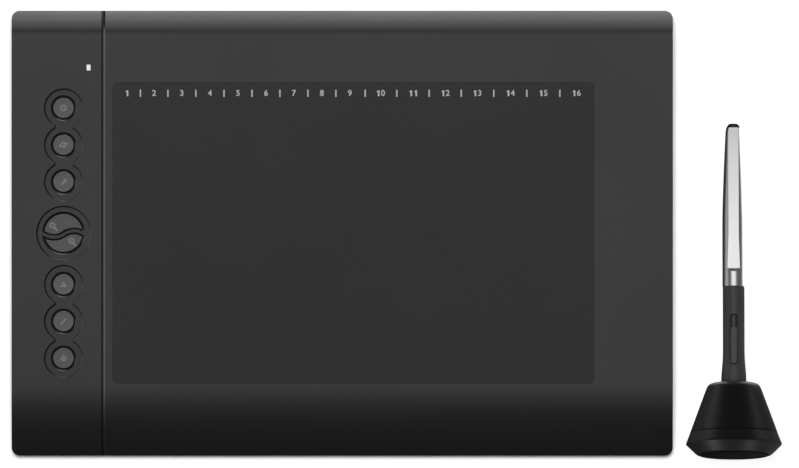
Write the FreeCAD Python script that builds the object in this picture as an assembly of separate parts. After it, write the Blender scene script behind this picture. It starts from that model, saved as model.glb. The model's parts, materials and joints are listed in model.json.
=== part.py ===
import FreeCAD, Part
import os
from math import acos, atan, cos, degrees, radians, sin, sqrt

# A pen tablet that lies on its feet, with its pen in a conical stand that lies on its side next to it.
# Millimetres, +Z up. X runs along the tablet, from the key strip towards the stand, and +Y away from
# the user. The origin is on the desk, in the middle of the set's footprint.
os.makedirs("parts", exist_ok=True)
V = FreeCAD.Vector

# Tablet casing
tablet_w = 353.1
tablet_d = 237.6
tablet_top_z = 10.0
corner_r = 4.2
edge_drop = 5.4
far_slope_w = 15.0
near_slope_w = 29.5
skin_t = 1.6
wall_t = 1.9
split_z = 2.9
foot_proud = 0.8
floor_t = 1.6
shadow_gap = 0.3
base_bevel = 1.2
lip_t = 1.0
lip_h = 1.0
lip_gap = 0.15
lip_len = 150.0

# Drawing area
film_w = 257.1
film_d = 160.5
film_right_margin = 41.95
film_t = 0.35
film_corner_r = 2.7
sensor_margin = 2.5
sensor_t = 0.8
shield_t = 0.3
strip_w = 48.55
strip_groove_w = 1.6
strip_groove_depth = 0.7

# Key strip
key_inset = 27.75
key_pitch = 19.7
key_group_y = 47.1
cap_r = 5.65
cap_gap = 0.8
cap_below_face = 0.15
cap_hollow = 0.35
dish_r = 10.45
dish_neck_w = 9.8
dish_depth = 0.9
dish_slope = 0.5
pair_dish_r = 14.6
pair_hole_r = 11.0
bridge_w = 1.9
bridge_arc_r = 9.6
bridge_rise = 1.7
bridge_mid_x = 0.25
bridge_mid_y = -0.6
bridge_end_deg = 55.0
pair_switch_y = 5.6
key_travel = 0.45
plate_t = 0.8
plate_over = 0.7
plate_gap = 0.2
plate_split = 1.0
stem_w = 3.0
dish_margin = 1.0

# Switches and boards
board_t = 0.8
board_lift = 0.4
key_board_w = 24.0
key_board_d = 150.0
switch_w = 6.0
switch_h = 1.6
switch_lid_t = 0.35
switch_floor_t = 0.3
plunger_w = 3.2
plunger_head_w = 4.4
plunger_head_t = 0.35
control_board_w = 42.0
control_board_d = 30.0
control_board_inset = 26.8
usb_w = 8.94
usb_h = 3.16
usb_len = 7.3
usb_wall = 0.3
usb_inset = 0.4
usb_back_t = 1.0
usb_tongue_t = 0.7
usb_tongue_w = 6.3
usb_tongue_inset = 1.0
usb_port_gap = 0.35
led_inset_x = 41.15
led_inset_y = 30.4
led_window_w = 2.2
led_window_d = 3.2
led_w = 1.6
led_d = 0.8
led_h = 0.8
led_gap = 0.3
led_collar_over = 0.8
led_collar_t = 0.8
part_gap = 0.05
flex_w = 12.0
flex_t = 0.2
flex_lap = 4.5
sensor_flex_w = 5.0
sensor_flex_inset = 0.5

# Feet and case screws
foot_w = 26.0
foot_d = 9.0
foot_recess = 0.6
foot_inset_x = 38.55
foot_inset_y = 15.8
screw_inset_x = 8.55
screw_inset_y = 19.3
screw_r = 0.95
thread_bite = 0.1
screw_head_r = 1.9
screw_head_t = 0.7
screw_len = 4.6
boss_w = 5.2
peg_w = 1.8
peg_pad_w = 4.0
peg_proud = 0.5
peg_inset = 3.0
rib_t = 1.2
rib_pitch_x = 78.0
rib_pitch_y = 50.0

# Pen, measured up from the nib's tip
pen_len = 166.0
grip_len = 78.3
nib_r = 0.8
nib_tip_r = 0.4
nib_tip_len = 0.5
nib_show = 1.6
nib_len = 28.6
nib_gap = 0.06
nib_travel = 0.5
nose_end_r = 1.5
nose_seat_r = 4.9
nose_seat_s = 14.0
flare_r = 6.75
flare_s = 28.5
grip_r = 5.8
grip_start_s = 40.0
barrel_r = 5.7
barrel_taper_s = 118.0
barrel_end_r = 4.15
barrel_end_s = 161.5
tail_shoulder_r = 3.63
tail_shoulder_s = 164.2
tail_cap_r = 2.4
pen_bore_r = 3.7
pen_bore_start = 14.0
barrel_bore_r = 2.6
barrel_bore_len = 60.0
spigot_r = 4.3
spigot_len = 7.5
facet_tail_depth = 3.25
facet_rise = 0.0204
facet_end_s = 88.6
facet_end_r = 3.2

# Pen button and insides
rocker_len = 27.2
rocker_w = 4.65
rocker_mid_s = 49.7
rocker_gap = 0.3
rocker_proud = 0.75
rocker_under = 3.9
slot_floor_v = 1.0
rocker_pivot_v = 4.6
rocker_edge = 0.5
rocker_waist_r = 6.0
rocker_waist_depth = 0.4
trunnion_r = 0.6
trunnion_len = 5.9
pen_board_w = 5.8
pen_board_top = 1.9
pen_board_end_s = 74.0
pen_switch_len = 3.0
pen_switch_w = 2.6
pen_switch_h = 1.4
pen_switch_offset = 9.5
ferrite_r = 1.9
ferrite_start_s = 14.5
ferrite_end_s = 28.0
coil_r = 3.2
coil_start_s = 16.0
coil_end_s = 24.5
sensor_w = 5.0
sensor_end_s = 34.0

# Pen stand, measured up from its foot
stand_gap = 6.75
stand_foot_inset = 0.1
pen_seat_h = 12.3
stand_foot_r = 20.3
stand_rim_r = 25.6
stand_rim_h = 6.1
stand_split_h = 12.2
stand_split_r = 23.35
stand_shoulder_r = 14.7
stand_shoulder_h = 35.9
stand_top_r = 10.5
stand_top_h = 38.9
stand_mouth_r = 8.1
socket_gap = 0.3
socket_wall = 1.5
socket_floor = 1.5
stand_floor_t = 1.9
room_top_h = 23.0
spigot_ring_r = 17.2
spigot_gap = 0.15
spigot_ring_h = 3.0
spigot_ring_t = 1.6
pad_r = 18.5
pad_t = 0.6
weight_w = 21.6
weight_t = 4.0
tray_t = 2.0
tray_w = 21.6
spare_nib_offset = 9.2
spare_nib_len = 12.0
spare_nib_depth = 1.5
spare_nib_gap = 0.08

# Places that follow from the sizes above
left_end = -tablet_w / 2
key_x = left_end + key_inset
strip_groove_x = left_end + strip_w
film_x = tablet_w / 2 - film_right_margin - film_w / 2
control_board_y = tablet_d / 2 - control_board_inset
led_x = left_end + led_inset_x
led_y = tablet_d / 2 - led_inset_y
foot_x = tablet_w / 2 - foot_inset_x
foot_y = tablet_d / 2 - foot_inset_y
screw_x = tablet_w / 2 - screw_inset_x
screw_y = tablet_d / 2 - screw_inset_y
stand_x = tablet_w / 2 + stand_gap + stand_rim_r
stand_foot_y = -tablet_d / 2 + stand_foot_inset
under_z = foot_proud
floor_z = under_z + floor_t
skin_z = tablet_top_z - skin_t
dish_z = tablet_top_z - dish_depth
dish_under_z = dish_z - skin_t
board_z = floor_z + board_lift
board_top_z = board_z + board_t
switch_top_z = board_top_z + switch_h
plate_top_z = dish_under_z - plate_gap
plate_z = plate_top_z - plate_t
lid_z = switch_top_z - switch_lid_t
plunger_top_z = switch_top_z + key_travel + part_gap
cap_top_z = tablet_top_z - cap_below_face
sensor_z = skin_z - sensor_t
shield_z = sensor_z - shield_t
cap_hole_r = cap_r + cap_gap
pair_cap_r = pair_hole_r - cap_gap
round_keys = [side * key_group_y + step * key_pitch for side in (1, -1) for step in (1, 0, -1)]
foot_names = ["foot_far_left", "foot_near_left", "foot_far_right", "foot_near_right"]

# Basic forms

def block(x0, x1, y0, y1, z0, z1):
    return Part.makeBox(x1 - x0, y1 - y0, z1 - z0, V(x0, y0, z0))


def post(x, y, w, z0, z1):
    return block(x - w / 2, x + w / 2, y - w / 2, y + w / 2, z0, z1)


def disc(x, y, r, z0, z1):
    return Part.makeCylinder(r, z1 - z0, V(x, y, z0))


def ring(x, y, r_out, r_in, z0, z1):
    return disc(x, y, r_out, z0, z1).cut(disc(x, y, r_in, z0 - 1, z1 + 1))


def rounded_slab(x, y, w, d, r, z0, z1):
    slab = block(x - w / 2, x + w / 2, y - d / 2, y + d / 2, z0, z1)
    upright = [e for e in slab.Edges if e.BoundBox.ZLength > (z1 - z0) / 2]
    return slab.makeFillet(r, upright)


def turned(points):
    """A solid turned about Z from (radius, height) corners."""
    wire = Part.makePolygon([V(r, 0, h) for r, h in points + points[:1]])
    return Part.Face(wire).revolve(V(0, 0, 0), V(0, 0, 1), 360)


def fuse_all(solids):
    whole = solids[0]
    for solid in solids[1:]:
        whole = whole.fuse(solid)
    return whole.removeSplitter()


# Tablet casing

def slope_profile(inset, top, bottom):
    """The casing's section across Y: flat in the middle, rolling down to both long edges."""
    near = -tablet_d / 2 + inset
    far = tablet_d / 2 - inset
    edge_z = top - edge_drop
    near_r = (near_slope_w**2 + edge_drop**2) / (2 * edge_drop)
    far_r = (far_slope_w**2 + edge_drop**2) / (2 * edge_drop)
    near_mid = near_slope_w / 2
    far_mid = far_slope_w / 2
    near_mid_z = top - near_r + sqrt(near_r**2 - near_mid**2)
    far_mid_z = top - far_r + sqrt(far_r**2 - far_mid**2)
    near_arc = Part.Arc(V(0, near, edge_z), V(0, near + near_mid, near_mid_z), V(0, near + near_slope_w, top))
    far_arc = Part.Arc(V(0, far - far_slope_w, top), V(0, far - far_mid, far_mid_z), V(0, far, edge_z))
    edges = [
        Part.makeLine(V(0, near, bottom), V(0, near, edge_z)),
        near_arc.toShape(),
        Part.makeLine(V(0, near + near_slope_w, top), V(0, far - far_slope_w, top)),
        far_arc.toShape(),
        Part.makeLine(V(0, far, edge_z), V(0, far, bottom)),
        Part.makeLine(V(0, far, bottom), V(0, near, bottom)),
    ]
    return Part.Face(Part.Wire(edges))


def sloped_body(inset, top, bottom):
    w = tablet_w - 2 * inset
    prism = slope_profile(inset, top, bottom).extrude(V(w, 0, 0))
    prism.translate(V(-w / 2, 0, 0))
    outline = rounded_slab(0, 0, w, tablet_d - 2 * inset, corner_r - inset / 2, bottom - 1, top + 1)
    return prism.common(outline)


def key_dishes():
    """The hollows round the keys: two chains of three round hollows and one large one between them."""
    cuts = []
    for y in round_keys:
        cuts.append(Part.makeCone(dish_r - dish_slope, dish_r, dish_depth, V(key_x, y, dish_z)))
    for side in (1, -1):
        low = side * key_group_y - key_pitch
        high = side * key_group_y + key_pitch
        neck_x = [key_x - dish_neck_w / 2, key_x + dish_neck_w / 2]
        cuts.append(block(neck_x[0], neck_x[1], low, high, dish_z, tablet_top_z + 1))
    cuts.append(Part.makeCone(pair_dish_r - dish_slope, pair_dish_r, dish_depth, V(key_x, 0, dish_z)))
    return cuts


def key_strip_pad():
    """The cover is thicker under the keys, so that the hollows don't thin it."""
    half_w = pair_dish_r + dish_margin
    half_d = key_group_y + key_pitch + dish_r + dish_margin
    return block(key_x - half_w, key_x + half_w, -half_d, half_d, dish_under_z, skin_z)


def s_band(width, z0, z1):
    """The S-shaped bridge between the two half keys: two equal arcs that meet in a smooth wave."""
    sweep = degrees(acos(1 - bridge_rise / bridge_arc_r))
    mid_x = key_x + bridge_mid_x
    crest_x = mid_x + bridge_arc_r * sin(radians(sweep))
    centre = V(crest_x, bridge_mid_y + bridge_rise - bridge_arc_r, z0)
    up = V(0, 0, 1)
    sector = Part.makeCylinder(bridge_arc_r + width / 2, z1 - z0, centre, up, sweep + bridge_end_deg)
    sector.rotate(centre, up, 90 - bridge_end_deg)
    crest = sector.cut(Part.makeCylinder(bridge_arc_r - width / 2, z1 - z0, centre, up))
    dip = crest.copy()
    dip.rotate(V(mid_x, bridge_mid_y, 0), up, 180)
    return crest.fuse(dip).removeSplitter()


def top_cover():
    cover = sloped_body(0, tablet_top_z, split_z)
    cover = cover.cut(sloped_body(wall_t, skin_z, split_z - 1))
    bosses = [post(x, y, boss_w, floor_z, skin_z) for x, y in screw_places()]
    cover = fuse_all([cover, key_strip_pad()] + bosses)
    for cut in key_dishes():
        cover = cover.cut(cut)
    for y in round_keys:
        cover = cover.cut(disc(key_x, y, cap_hole_r, dish_under_z - 1, dish_z + 1))
    pair_hole = disc(key_x, 0, pair_hole_r, dish_under_z - 1, dish_z + 1)
    cover = cover.cut(pair_hole.cut(s_band(bridge_w, dish_under_z - 1, dish_z)))
    film_z = tablet_top_z - film_t
    cover = cover.cut(rounded_slab(film_x, 0, film_w, film_d, film_corner_r, film_z, tablet_top_z + 1))
    cover = cover.cut(strip_groove())
    cover = cover.cut(led_block(0, skin_z - 1, tablet_top_z + 1))
    cover = cover.cut(usb_port_cut())
    for x, y in screw_places():
        cover = cover.cut(disc(x, y, screw_r - thread_bite, floor_z - 1, under_z + screw_len + 1))
    return cover


def strip_groove():
    """A shallow groove from one long edge to the other, between the key strip and the drawing area."""
    half = strip_groove_w / 2
    lowered = sloped_body(-1, tablet_top_z - strip_groove_depth, under_z)
    sides = [strip_groove_x - half, strip_groove_x + half]
    return block(sides[0], sides[1], -tablet_d, tablet_d, under_z, tablet_top_z + 1).cut(lowered)


def end_slot(x0, x1, y, z, w, h):
    """A round-ended slot along X, like the mouth of a reversible data port."""
    slot = block(x0, x1, y - w / 2, y + w / 2, z - h / 2, z + h / 2)
    along = [e for e in slot.Edges if e.BoundBox.XLength > (x1 - x0) / 2]
    return slot.makeFillet(h / 2 - 0.01, along)


def usb_port_cut():
    z = board_top_z + usb_h / 2
    w = usb_w + 2 * usb_port_gap
    h = usb_h + 2 * usb_port_gap
    return end_slot(left_end - 1, left_end + wall_t + 1, control_board_y, z, w, h)


def foot_places():
    return [(sx * foot_x, sy * foot_y) for sx in (-1, 1) for sy in (1, -1)]


def screw_places():
    return [(sx * screw_x, sy * screw_y) for sx in (-1, 1) for sy in (1, -1)]


def bottom_cover():
    w = tablet_w - 2 * shadow_gap
    d = tablet_d - 2 * shadow_gap
    tray = rounded_slab(0, 0, w, d, corner_r - shadow_gap, under_z, split_z)
    rim = [e for e in tray.Edges if e.BoundBox.ZMax < under_z + 0.01]
    tray = tray.makeChamfer(base_bevel, rim)
    inner_w = tablet_w - 2 * wall_t
    inner_d = tablet_d - 2 * wall_t
    tray = tray.cut(rounded_slab(0, 0, inner_w, inner_d, corner_r - wall_t, floor_z, split_z + 1))
    tray = fuse_all([tray] + support_ribs() + end_lips() + board_pegs())
    recess_z = under_z + foot_recess
    for x, y in foot_places():
        tray = tray.cut(foot_block(x, y, part_gap, under_z - 1, recess_z))
    for x, y in screw_places():
        tray = tray.cut(disc(x, y, screw_r + part_gap, under_z - 1, floor_z + 1))
        tray = tray.cut(disc(x, y, screw_head_r + part_gap, under_z - 1, under_z + screw_head_t))
    return tray


def support_ribs():
    """A grid of ribs that backs the drawing area, so that it doesn't give under the pen."""
    half_w = film_w / 2 - rib_t
    half_d = film_d / 2 - rib_t
    ribs = []
    for i in (-1, 0, 1):
        y = i * rib_pitch_y
        ribs.append(block(film_x - half_w, film_x + half_w, y - rib_t / 2, y + rib_t / 2, floor_z, shield_z))
        x = film_x + i * rib_pitch_x
        ribs.append(block(x - rib_t / 2, x + rib_t / 2, -half_d, half_d, floor_z, shield_z))
    return ribs


def end_lips():
    """Lips at both short ends that slip inside the top cover's walls."""
    reach = tablet_w / 2 - wall_t - lip_gap
    half = lip_len / 2
    lips = []
    for side in (-1, 1):
        x = side * (reach - lip_t / 2)
        lips.append(block(x - lip_t / 2, x + lip_t / 2, -half, half, floor_z, split_z + lip_h))
    return lips


def board_pegs():
    """Pads that hold the left-hand boards off the floor, with the pegs that the boards are staked on."""
    pads = [post(x, y, peg_pad_w, floor_z, board_z) for x, y in peg_places()]
    pegs = [post(x, y, peg_w, floor_z, board_top_z + peg_proud) for x, y in peg_places()]
    return pads + pegs


def peg_places():
    key_y = key_board_d / 2 - peg_inset
    key_side = key_board_w / 2 - peg_inset
    control_side = control_board_w / 2 - peg_inset
    control_y = control_board_y + control_board_d / 2 - peg_inset
    places = [(key_x + side * key_side, end * key_y) for side in (-1, 1) for end in (-1, 1)]
    return places + [(control_board_x() + control_side, control_y)]


def control_board_x():
    """The control board starts just inside the left wall, so that its port reaches the outside."""
    return left_end + wall_t + 2 * lip_t + control_board_w / 2


def foot_block(x, y, over, z0, z1):
    """A block of a foot's outline, let out all round for its recess."""
    half_w = foot_w / 2 + over
    half_d = foot_d / 2 + over
    return block(x - half_w, x + half_w, y - half_d, y + half_d, z0, z1)


def feet():
    top = under_z + foot_recess
    return {name: foot_block(x, y, 0, 0, top) for name, (x, y) in zip(foot_names, foot_places())}


def case_screws():
    screws = []
    for x, y in screw_places():
        head = disc(x, y, screw_head_r, under_z + part_gap, under_z + screw_head_t)
        shank = disc(x, y, screw_r - thread_bite - part_gap, under_z + screw_head_t, under_z + screw_len)
        screws.append(head.fuse(shank))
    return Part.makeCompound(screws)


# Drawing area

def drawing_film():
    w = film_w - 2 * part_gap
    d = film_d - 2 * part_gap
    return rounded_slab(film_x, 0, w, d, film_corner_r, tablet_top_z - film_t, tablet_top_z - part_gap)


def backing_sheet(margin, z0, z1):
    half_w = film_w / 2 + margin
    half_d = film_d / 2 + margin
    return block(film_x - half_w, film_x + half_w, -half_d, half_d, z0, z1)


def sensor_board():
    return backing_sheet(sensor_margin, sensor_z, skin_z)


def shield_plate():
    return backing_sheet(0, shield_z, sensor_z)


# Boards and switches

def switch_places():
    places = [(key_x, y) for y in round_keys]
    return places + [(key_x, pair_switch_y), (key_x, -pair_switch_y)]


def key_board():
    half_w = key_board_w / 2
    half_d = key_board_d / 2
    board = block(key_x - half_w, key_x + half_w, -half_d, half_d, board_z, board_top_z)
    return holed_for_pegs(board)


def holed_for_pegs(board):
    for x, y in peg_places():
        board = board.cut(post(x, y, peg_w + 2 * part_gap, board_z - 1, board_top_z + 1))
    return board


def key_switches():
    """Low tactile switches: a square can under a lid that the plunger comes through."""
    cans = []
    room_z = board_top_z + switch_floor_t
    for x, y in switch_places():
        can = post(x, y, switch_w, board_top_z, switch_top_z)
        can = can.cut(post(x, y, plunger_head_w + 2 * part_gap, room_z, lid_z))
        cans.append(can.cut(post(x, y, plunger_w + 2 * part_gap, room_z, switch_top_z + 1)))
    return Part.makeCompound(cans)


def plunger(x, y):
    """A square plunger whose wider head is held under the switch's lid."""
    head_top_z = lid_z - part_gap
    head_z = head_top_z - plunger_head_t
    return post(x, y, plunger_head_w, head_z, head_top_z).fuse(post(x, y, plunger_w, head_z, plunger_top_z))


def control_board():
    x = control_board_x()
    half_w = control_board_w / 2
    near = control_board_y - control_board_d / 2
    board = block(x - half_w, x + half_w, near, near + control_board_d, board_z, board_top_z)
    for boss_x, boss_y in screw_places():
        board = board.cut(post(boss_x, boss_y, boss_w + 2 * shadow_gap, board_z - 1, board_top_z + 1))
    return holed_for_pegs(board)


def usb_socket():
    """The port's drawn metal shell, open at its mouth."""
    left = left_end + usb_inset
    z = board_top_z + usb_h / 2
    shell = end_slot(left, left + usb_len, control_board_y, z, usb_w, usb_h)
    inner_w = usb_w - 2 * usb_wall
    inner_h = usb_h - 2 * usb_wall
    return shell.cut(end_slot(left - 1, left + usb_len - usb_back_t, control_board_y, z, inner_w, inner_h))


def usb_tongue():
    """The contact tongue that stands in the middle of the port."""
    left = left_end + usb_inset
    y0 = control_board_y - usb_tongue_w / 2
    z0 = board_top_z + (usb_h - usb_tongue_t) / 2
    end = left + usb_len - usb_back_t
    return block(left + usb_tongue_inset, end, y0, y0 + usb_tongue_w, z0, z0 + usb_tongue_t)


def status_led():
    x0 = led_x - led_w / 2
    y0 = led_y - led_d / 2
    return block(x0, x0 + led_w, y0, y0 + led_d, board_top_z, board_top_z + led_h)


def led_block(over, z0, z1):
    """A block of the window's outline, let out or taken in all round."""
    half_w = led_window_w / 2 + over
    half_d = led_window_d / 2 + over
    return block(led_x - half_w, led_x + half_w, led_y - half_d, led_y + half_d, z0, z1)


def led_window():
    """A clear pipe from the lamp to the face, with a collar that stops it under the cover."""
    pipe = led_block(-part_gap, board_top_z + led_h + led_gap, tablet_top_z - part_gap)
    return pipe.fuse(led_block(led_collar_over, skin_z - led_collar_t, skin_z)).removeSplitter()


def key_cable():
    """The flat cable that joins the key board to the control board."""
    y0 = key_board_d / 2 - flex_lap
    y1 = control_board_y - control_board_d / 2 + flex_lap
    return block(key_x - flex_w / 2, key_x + flex_w / 2, y0, y1, board_top_z, board_top_z + flex_t)


def sensor_cable():
    """The flat cable from the control board up to the sensor board: along, up and along again."""
    y0 = control_board_y - control_board_d / 2 + sensor_flex_inset
    y1 = y0 + sensor_flex_w
    x1 = film_x - film_w / 2 - sensor_margin
    low_x = sorted([control_board_x() + control_board_w / 2 - flex_lap, x1])
    low = block(low_x[0], low_x[1], y0, y1, board_top_z, board_top_z + flex_t)
    riser = block(x1 - flex_t, x1, y0, y1, board_top_z, sensor_z)
    high = block(x1 - flex_t, x1 + sensor_margin - shadow_gap, y0, y1, sensor_z - flex_t, sensor_z)
    return fuse_all([low, riser, high])


# Keys

def scoop(y, r):
    """The trough that dishes a key's top, deepest along the key's middle."""
    radius = (r**2 + cap_hollow**2) / (2 * cap_hollow)
    axis_z = cap_top_z - cap_hollow + radius
    return Part.makeCylinder(radius, 2 * r + 2, V(key_x, y - r - 1, axis_z), V(0, 1, 0))


def round_key(y):
    """A dished round cap on a square plate that stops it under the cover, with its stem."""
    cap = disc(key_x, y, cap_r, plate_top_z, cap_top_z).cut(scoop(y, cap_r))
    plate = post(key_x, y, 2 * (cap_hole_r + plate_over), plate_z, plate_top_z)
    stem = post(key_x, y, stem_w, plunger_top_z, plate_z)
    return fuse_all([cap, plate, stem])


def half_key(side):
    """One half of the round pair, cut to the S of the bridge between them."""
    plate = post(key_x, 0, 2 * (pair_hole_r + plate_over), plate_z, plate_top_z)
    plate = plate.cut(s_band(plate_split, plate_z, plate_top_z))
    cap = disc(key_x, 0, pair_cap_r, plate_top_z, cap_top_z).cut(scoop(0, pair_cap_r))
    cap = cap.cut(s_band(bridge_w + 2 * cap_gap, plate_top_z, cap_top_z))
    stem = post(key_x, side * pair_switch_y, stem_w, plunger_top_z, plate_z)
    return fuse_all([biggest_on(plate, side), biggest_on(cap, side), stem])


def biggest_on(shape, side):
    """The largest of a shape's solids that lies on the upper or the lower side of the key pair."""
    own = [s for s in shape.Solids if s.CenterOfMass.y * side > 0]
    return max(own, key=lambda s: s.Volume)


# Pen, standing on its nib, with its button towards -Y

def pen_block(x0, x1, v0, v1, s0, s1):
    """A box in the pen's own terms: v is the distance from the axis towards the button."""
    return block(x0, x1, -v1, -v0, s0, s1)


def slot_form(length, width, v0, v1, mid_s):
    """A round-ended block that stands out of the pen's front, its length along the pen."""
    form = pen_block(-width / 2, width / 2, v0, v1, mid_s - length / 2, mid_s + length / 2)
    corners = [e for e in form.Edges if e.BoundBox.YLength > (v1 - v0) / 2]
    return form.makeFillet(width / 2 - 0.01, corners)


def nose_outline():
    """The grip's tapering front end, from the nib up to where the grip runs straight."""
    return [(nose_end_r, nib_show), (nose_seat_r, nose_seat_s), (flare_r, flare_s), (grip_r, grip_start_s)]


def barrel_outline():
    return [(barrel_r, grip_len), (barrel_r, barrel_taper_s), (barrel_end_r, barrel_end_s)]


def cross_pin(r, length):
    """The button's trunnion, or with more radius and length its seat."""
    return Part.makeCylinder(r, length, V(-length / 2, -rocker_pivot_v, rocker_mid_s), V(1, 0, 0))


def pen_grip():
    """The moulded front barrel: a flared nose, a bore, the button's slot and the spigot behind it."""
    spigot_end = grip_len + spigot_len
    points = nose_outline() + [(grip_r, grip_len), (spigot_r, grip_len), (spigot_r, spigot_end)]
    grip = turned(points + [(0, spigot_end), (0, nib_show)])
    grip = grip.cut(disc(0, 0, pen_bore_r, pen_bore_start, spigot_end + 1))
    grip = grip.cut(disc(0, 0, nib_r + nib_gap, nib_show - 1, pen_bore_start + 1))
    grip = grip.cut(slot_form(rocker_len, rocker_w, slot_floor_v, 2 * grip_r, rocker_mid_s))
    return grip.cut(cross_pin(trunnion_r + part_gap, trunnion_len + 2 * part_gap))


def rear_barrel():
    """The silver rear barrel, with a long flat milled along its front that ends in a round run-out."""
    points = barrel_outline() + [(tail_shoulder_r, tail_shoulder_s), (0, tail_shoulder_s), (0, grip_len)]
    barrel = turned(points)
    barrel = barrel.cut(disc(0, 0, spigot_r + part_gap, grip_len - 1, grip_len + spigot_len + part_gap))
    barrel = barrel.cut(disc(0, 0, barrel_bore_r, grip_len, grip_len + barrel_bore_len))
    return barrel.cut(facet_cutter())


def facet_cutter():
    past = pen_len + 10
    length = past - facet_end_s
    cutter = slot_form(length, 2 * facet_end_r, 0, 2 * barrel_r, facet_end_s + length / 2)
    wide = pen_block(-2 * barrel_r, 2 * barrel_r, 0, 2 * barrel_r, facet_end_s + facet_end_r, past)
    cutter = cutter.fuse(wide)
    cutter.translate(V(0, -facet_tail_depth, 0))
    cutter.rotate(V(0, -facet_tail_depth, tail_shoulder_s), V(1, 0, 0), -degrees(atan(facet_rise)))
    return cutter


def tail_cap():
    cap = [(0, tail_shoulder_s), (tail_shoulder_r, tail_shoulder_s), (tail_cap_r, pen_len), (0, pen_len)]
    return turned(cap).cut(facet_cutter())


def pen_nib():
    return turned([(0, 0), (nib_tip_r, 0), (nib_r, nib_tip_len), (nib_r, nib_len), (0, nib_len)])


def pen_rocker():
    """The two-way side button, with a low waist at its middle where it turns on its trunnions."""
    length = rocker_len - 2 * rocker_gap
    width = rocker_w - 2 * rocker_gap
    top = grip_r + rocker_proud
    body = slot_form(length, width, rocker_under, top, rocker_mid_s)
    crown = [e for e in body.Edges if e.BoundBox.YMax < -top + 0.01]
    body = body.makeChamfer(rocker_edge, crown)
    waist_v = top - rocker_waist_depth + rocker_waist_r
    waist = Part.makeCylinder(rocker_waist_r, 2 * width, V(-width, -waist_v, rocker_mid_s), V(1, 0, 0))
    return body.cut(waist).fuse(cross_pin(trunnion_r, trunnion_len)).removeSplitter()


def pen_board():
    half = pen_board_w / 2
    return pen_block(-half, half, pen_board_top - board_t, pen_board_top, sensor_end_s, pen_board_end_s)


def pen_switches():
    switches = []
    half_l = pen_switch_len / 2
    half_w = pen_switch_w / 2
    for side in (-1, 1):
        s = rocker_mid_s + side * pen_switch_offset
        top = pen_board_top + pen_switch_h
        switches.append(pen_block(-half_w, half_w, pen_board_top, top, s - half_l, s + half_l))
    return Part.makeCompound(switches)


def ferrite_core():
    return ring(0, 0, ferrite_r, nib_r + nib_gap, ferrite_start_s, ferrite_end_s)


def coil_winding():
    return ring(0, 0, coil_r, ferrite_r, coil_start_s, coil_end_s)


def pressure_sensor():
    sensor = post(0, 0, sensor_w, ferrite_end_s, sensor_end_s)
    return sensor.cut(disc(0, 0, nib_r + nib_gap, ferrite_end_s - 1, nib_len + nib_travel + nib_gap))


# Pen stand, standing on its foot

def well_outline():
    """The inside of the pen's well: a wide bore down to the ledge for the pen's nose, then a narrow one."""
    seat_r = nose_seat_r + socket_gap
    seat_h = pen_seat_h + nose_seat_s
    floor_h = pen_seat_h - socket_gap
    wide = [(stand_top_r, stand_top_h), (stand_mouth_r, stand_top_h), (stand_mouth_r, seat_h)]
    return wide + [(seat_r, seat_h), (seat_r, floor_h), (0, floor_h)]


def stand_cone():
    """The heavy upper cone, bored for the pen, over a round room for the base's spigot and spare nibs."""
    sleeve_r = stand_mouth_r + socket_wall
    sleeve_h = pen_seat_h - socket_gap - socket_floor
    room_r = spigot_ring_r + spigot_gap
    outside = [(stand_split_r, stand_split_h), (stand_shoulder_r, stand_shoulder_h)]
    room = [(0, sleeve_h), (sleeve_r, sleeve_h), (sleeve_r, room_top_h), (room_r, room_top_h)]
    return turned(outside + well_outline() + room + [(room_r, stand_split_h)])


def stand_base():
    """The lower dish, with a spigot ring that plugs into the cone."""
    floor_h = pad_t + stand_floor_t
    inner_r = spigot_ring_r - spigot_ring_t
    top = stand_split_h + spigot_ring_h
    dish = [(0, pad_t), (stand_foot_r, pad_t), (stand_rim_r, stand_rim_h), (stand_split_r, stand_split_h)]
    spigot = [(spigot_ring_r, stand_split_h), (spigot_ring_r, top), (inner_r, top)]
    return turned(dish + spigot + [(inner_r, floor_h), (0, floor_h)])


def foot_pad():
    return disc(0, 0, pad_r, 0, pad_t)


def stand_weight():
    floor_h = pad_t + stand_floor_t
    return post(0, 0, weight_w, floor_h, floor_h + weight_t)


def nib_tray():
    """A square tray on the weight, with a blind square hole for each spare nib."""
    h = pad_t + stand_floor_t + weight_t
    tray = post(0, 0, tray_w, h, h + tray_t)
    for x, y in spare_nib_places():
        tray = tray.cut(post(x, y, 2 * (nib_r + spare_nib_gap), h + tray_t - spare_nib_depth, h + tray_t + 1))
    return tray


def spare_nib_places():
    return [(sx * spare_nib_offset, sy * spare_nib_offset) for sx in (-1, 1) for sy in (-1, 1)]


def spare_nibs():
    h = pad_t + stand_floor_t + weight_t + tray_t - spare_nib_depth
    return Part.makeCompound([disc(x, y, nib_r, h, h + spare_nib_len) for x, y in spare_nib_places()])


# The stand and pen as they lie: on the stand's widest rim and on the pen's tail

def lying_tilt():
    """The angle by which the axis drops towards the pen's tail, in radians."""
    outline = barrel_outline() + [(tail_shoulder_r, tail_shoulder_s), (tail_cap_r, pen_len)]
    return min(atan((stand_rim_r - r) / (s + pen_seat_h - stand_rim_h)) for r, s in outline)


tilt = lying_tilt()
stand_foot_z = stand_rim_r * cos(tilt) + stand_rim_h * sin(tilt)
tip_pivot_h = stand_foot_z / (1 + sin(tilt))
pad_low_y = stand_foot_y - pad_r * sin(tilt)
base_low_y = stand_foot_y + pad_t * cos(tilt) - stand_foot_r * sin(tilt)
lowest_y = min(-tablet_d / 2, pad_low_y, base_low_y)
set_centre_x = (stand_x + stand_rim_r - tablet_w / 2) / 2
set_centre_y = (lowest_y + tablet_d / 2) / 2


def lay_down(shape):
    lying = shape.copy()
    lying.rotate(V(0, 0, 0), V(1, 0, 0), -90 - degrees(tilt))
    lying.translate(V(stand_x, stand_foot_y, stand_foot_z))
    return lying


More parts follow.
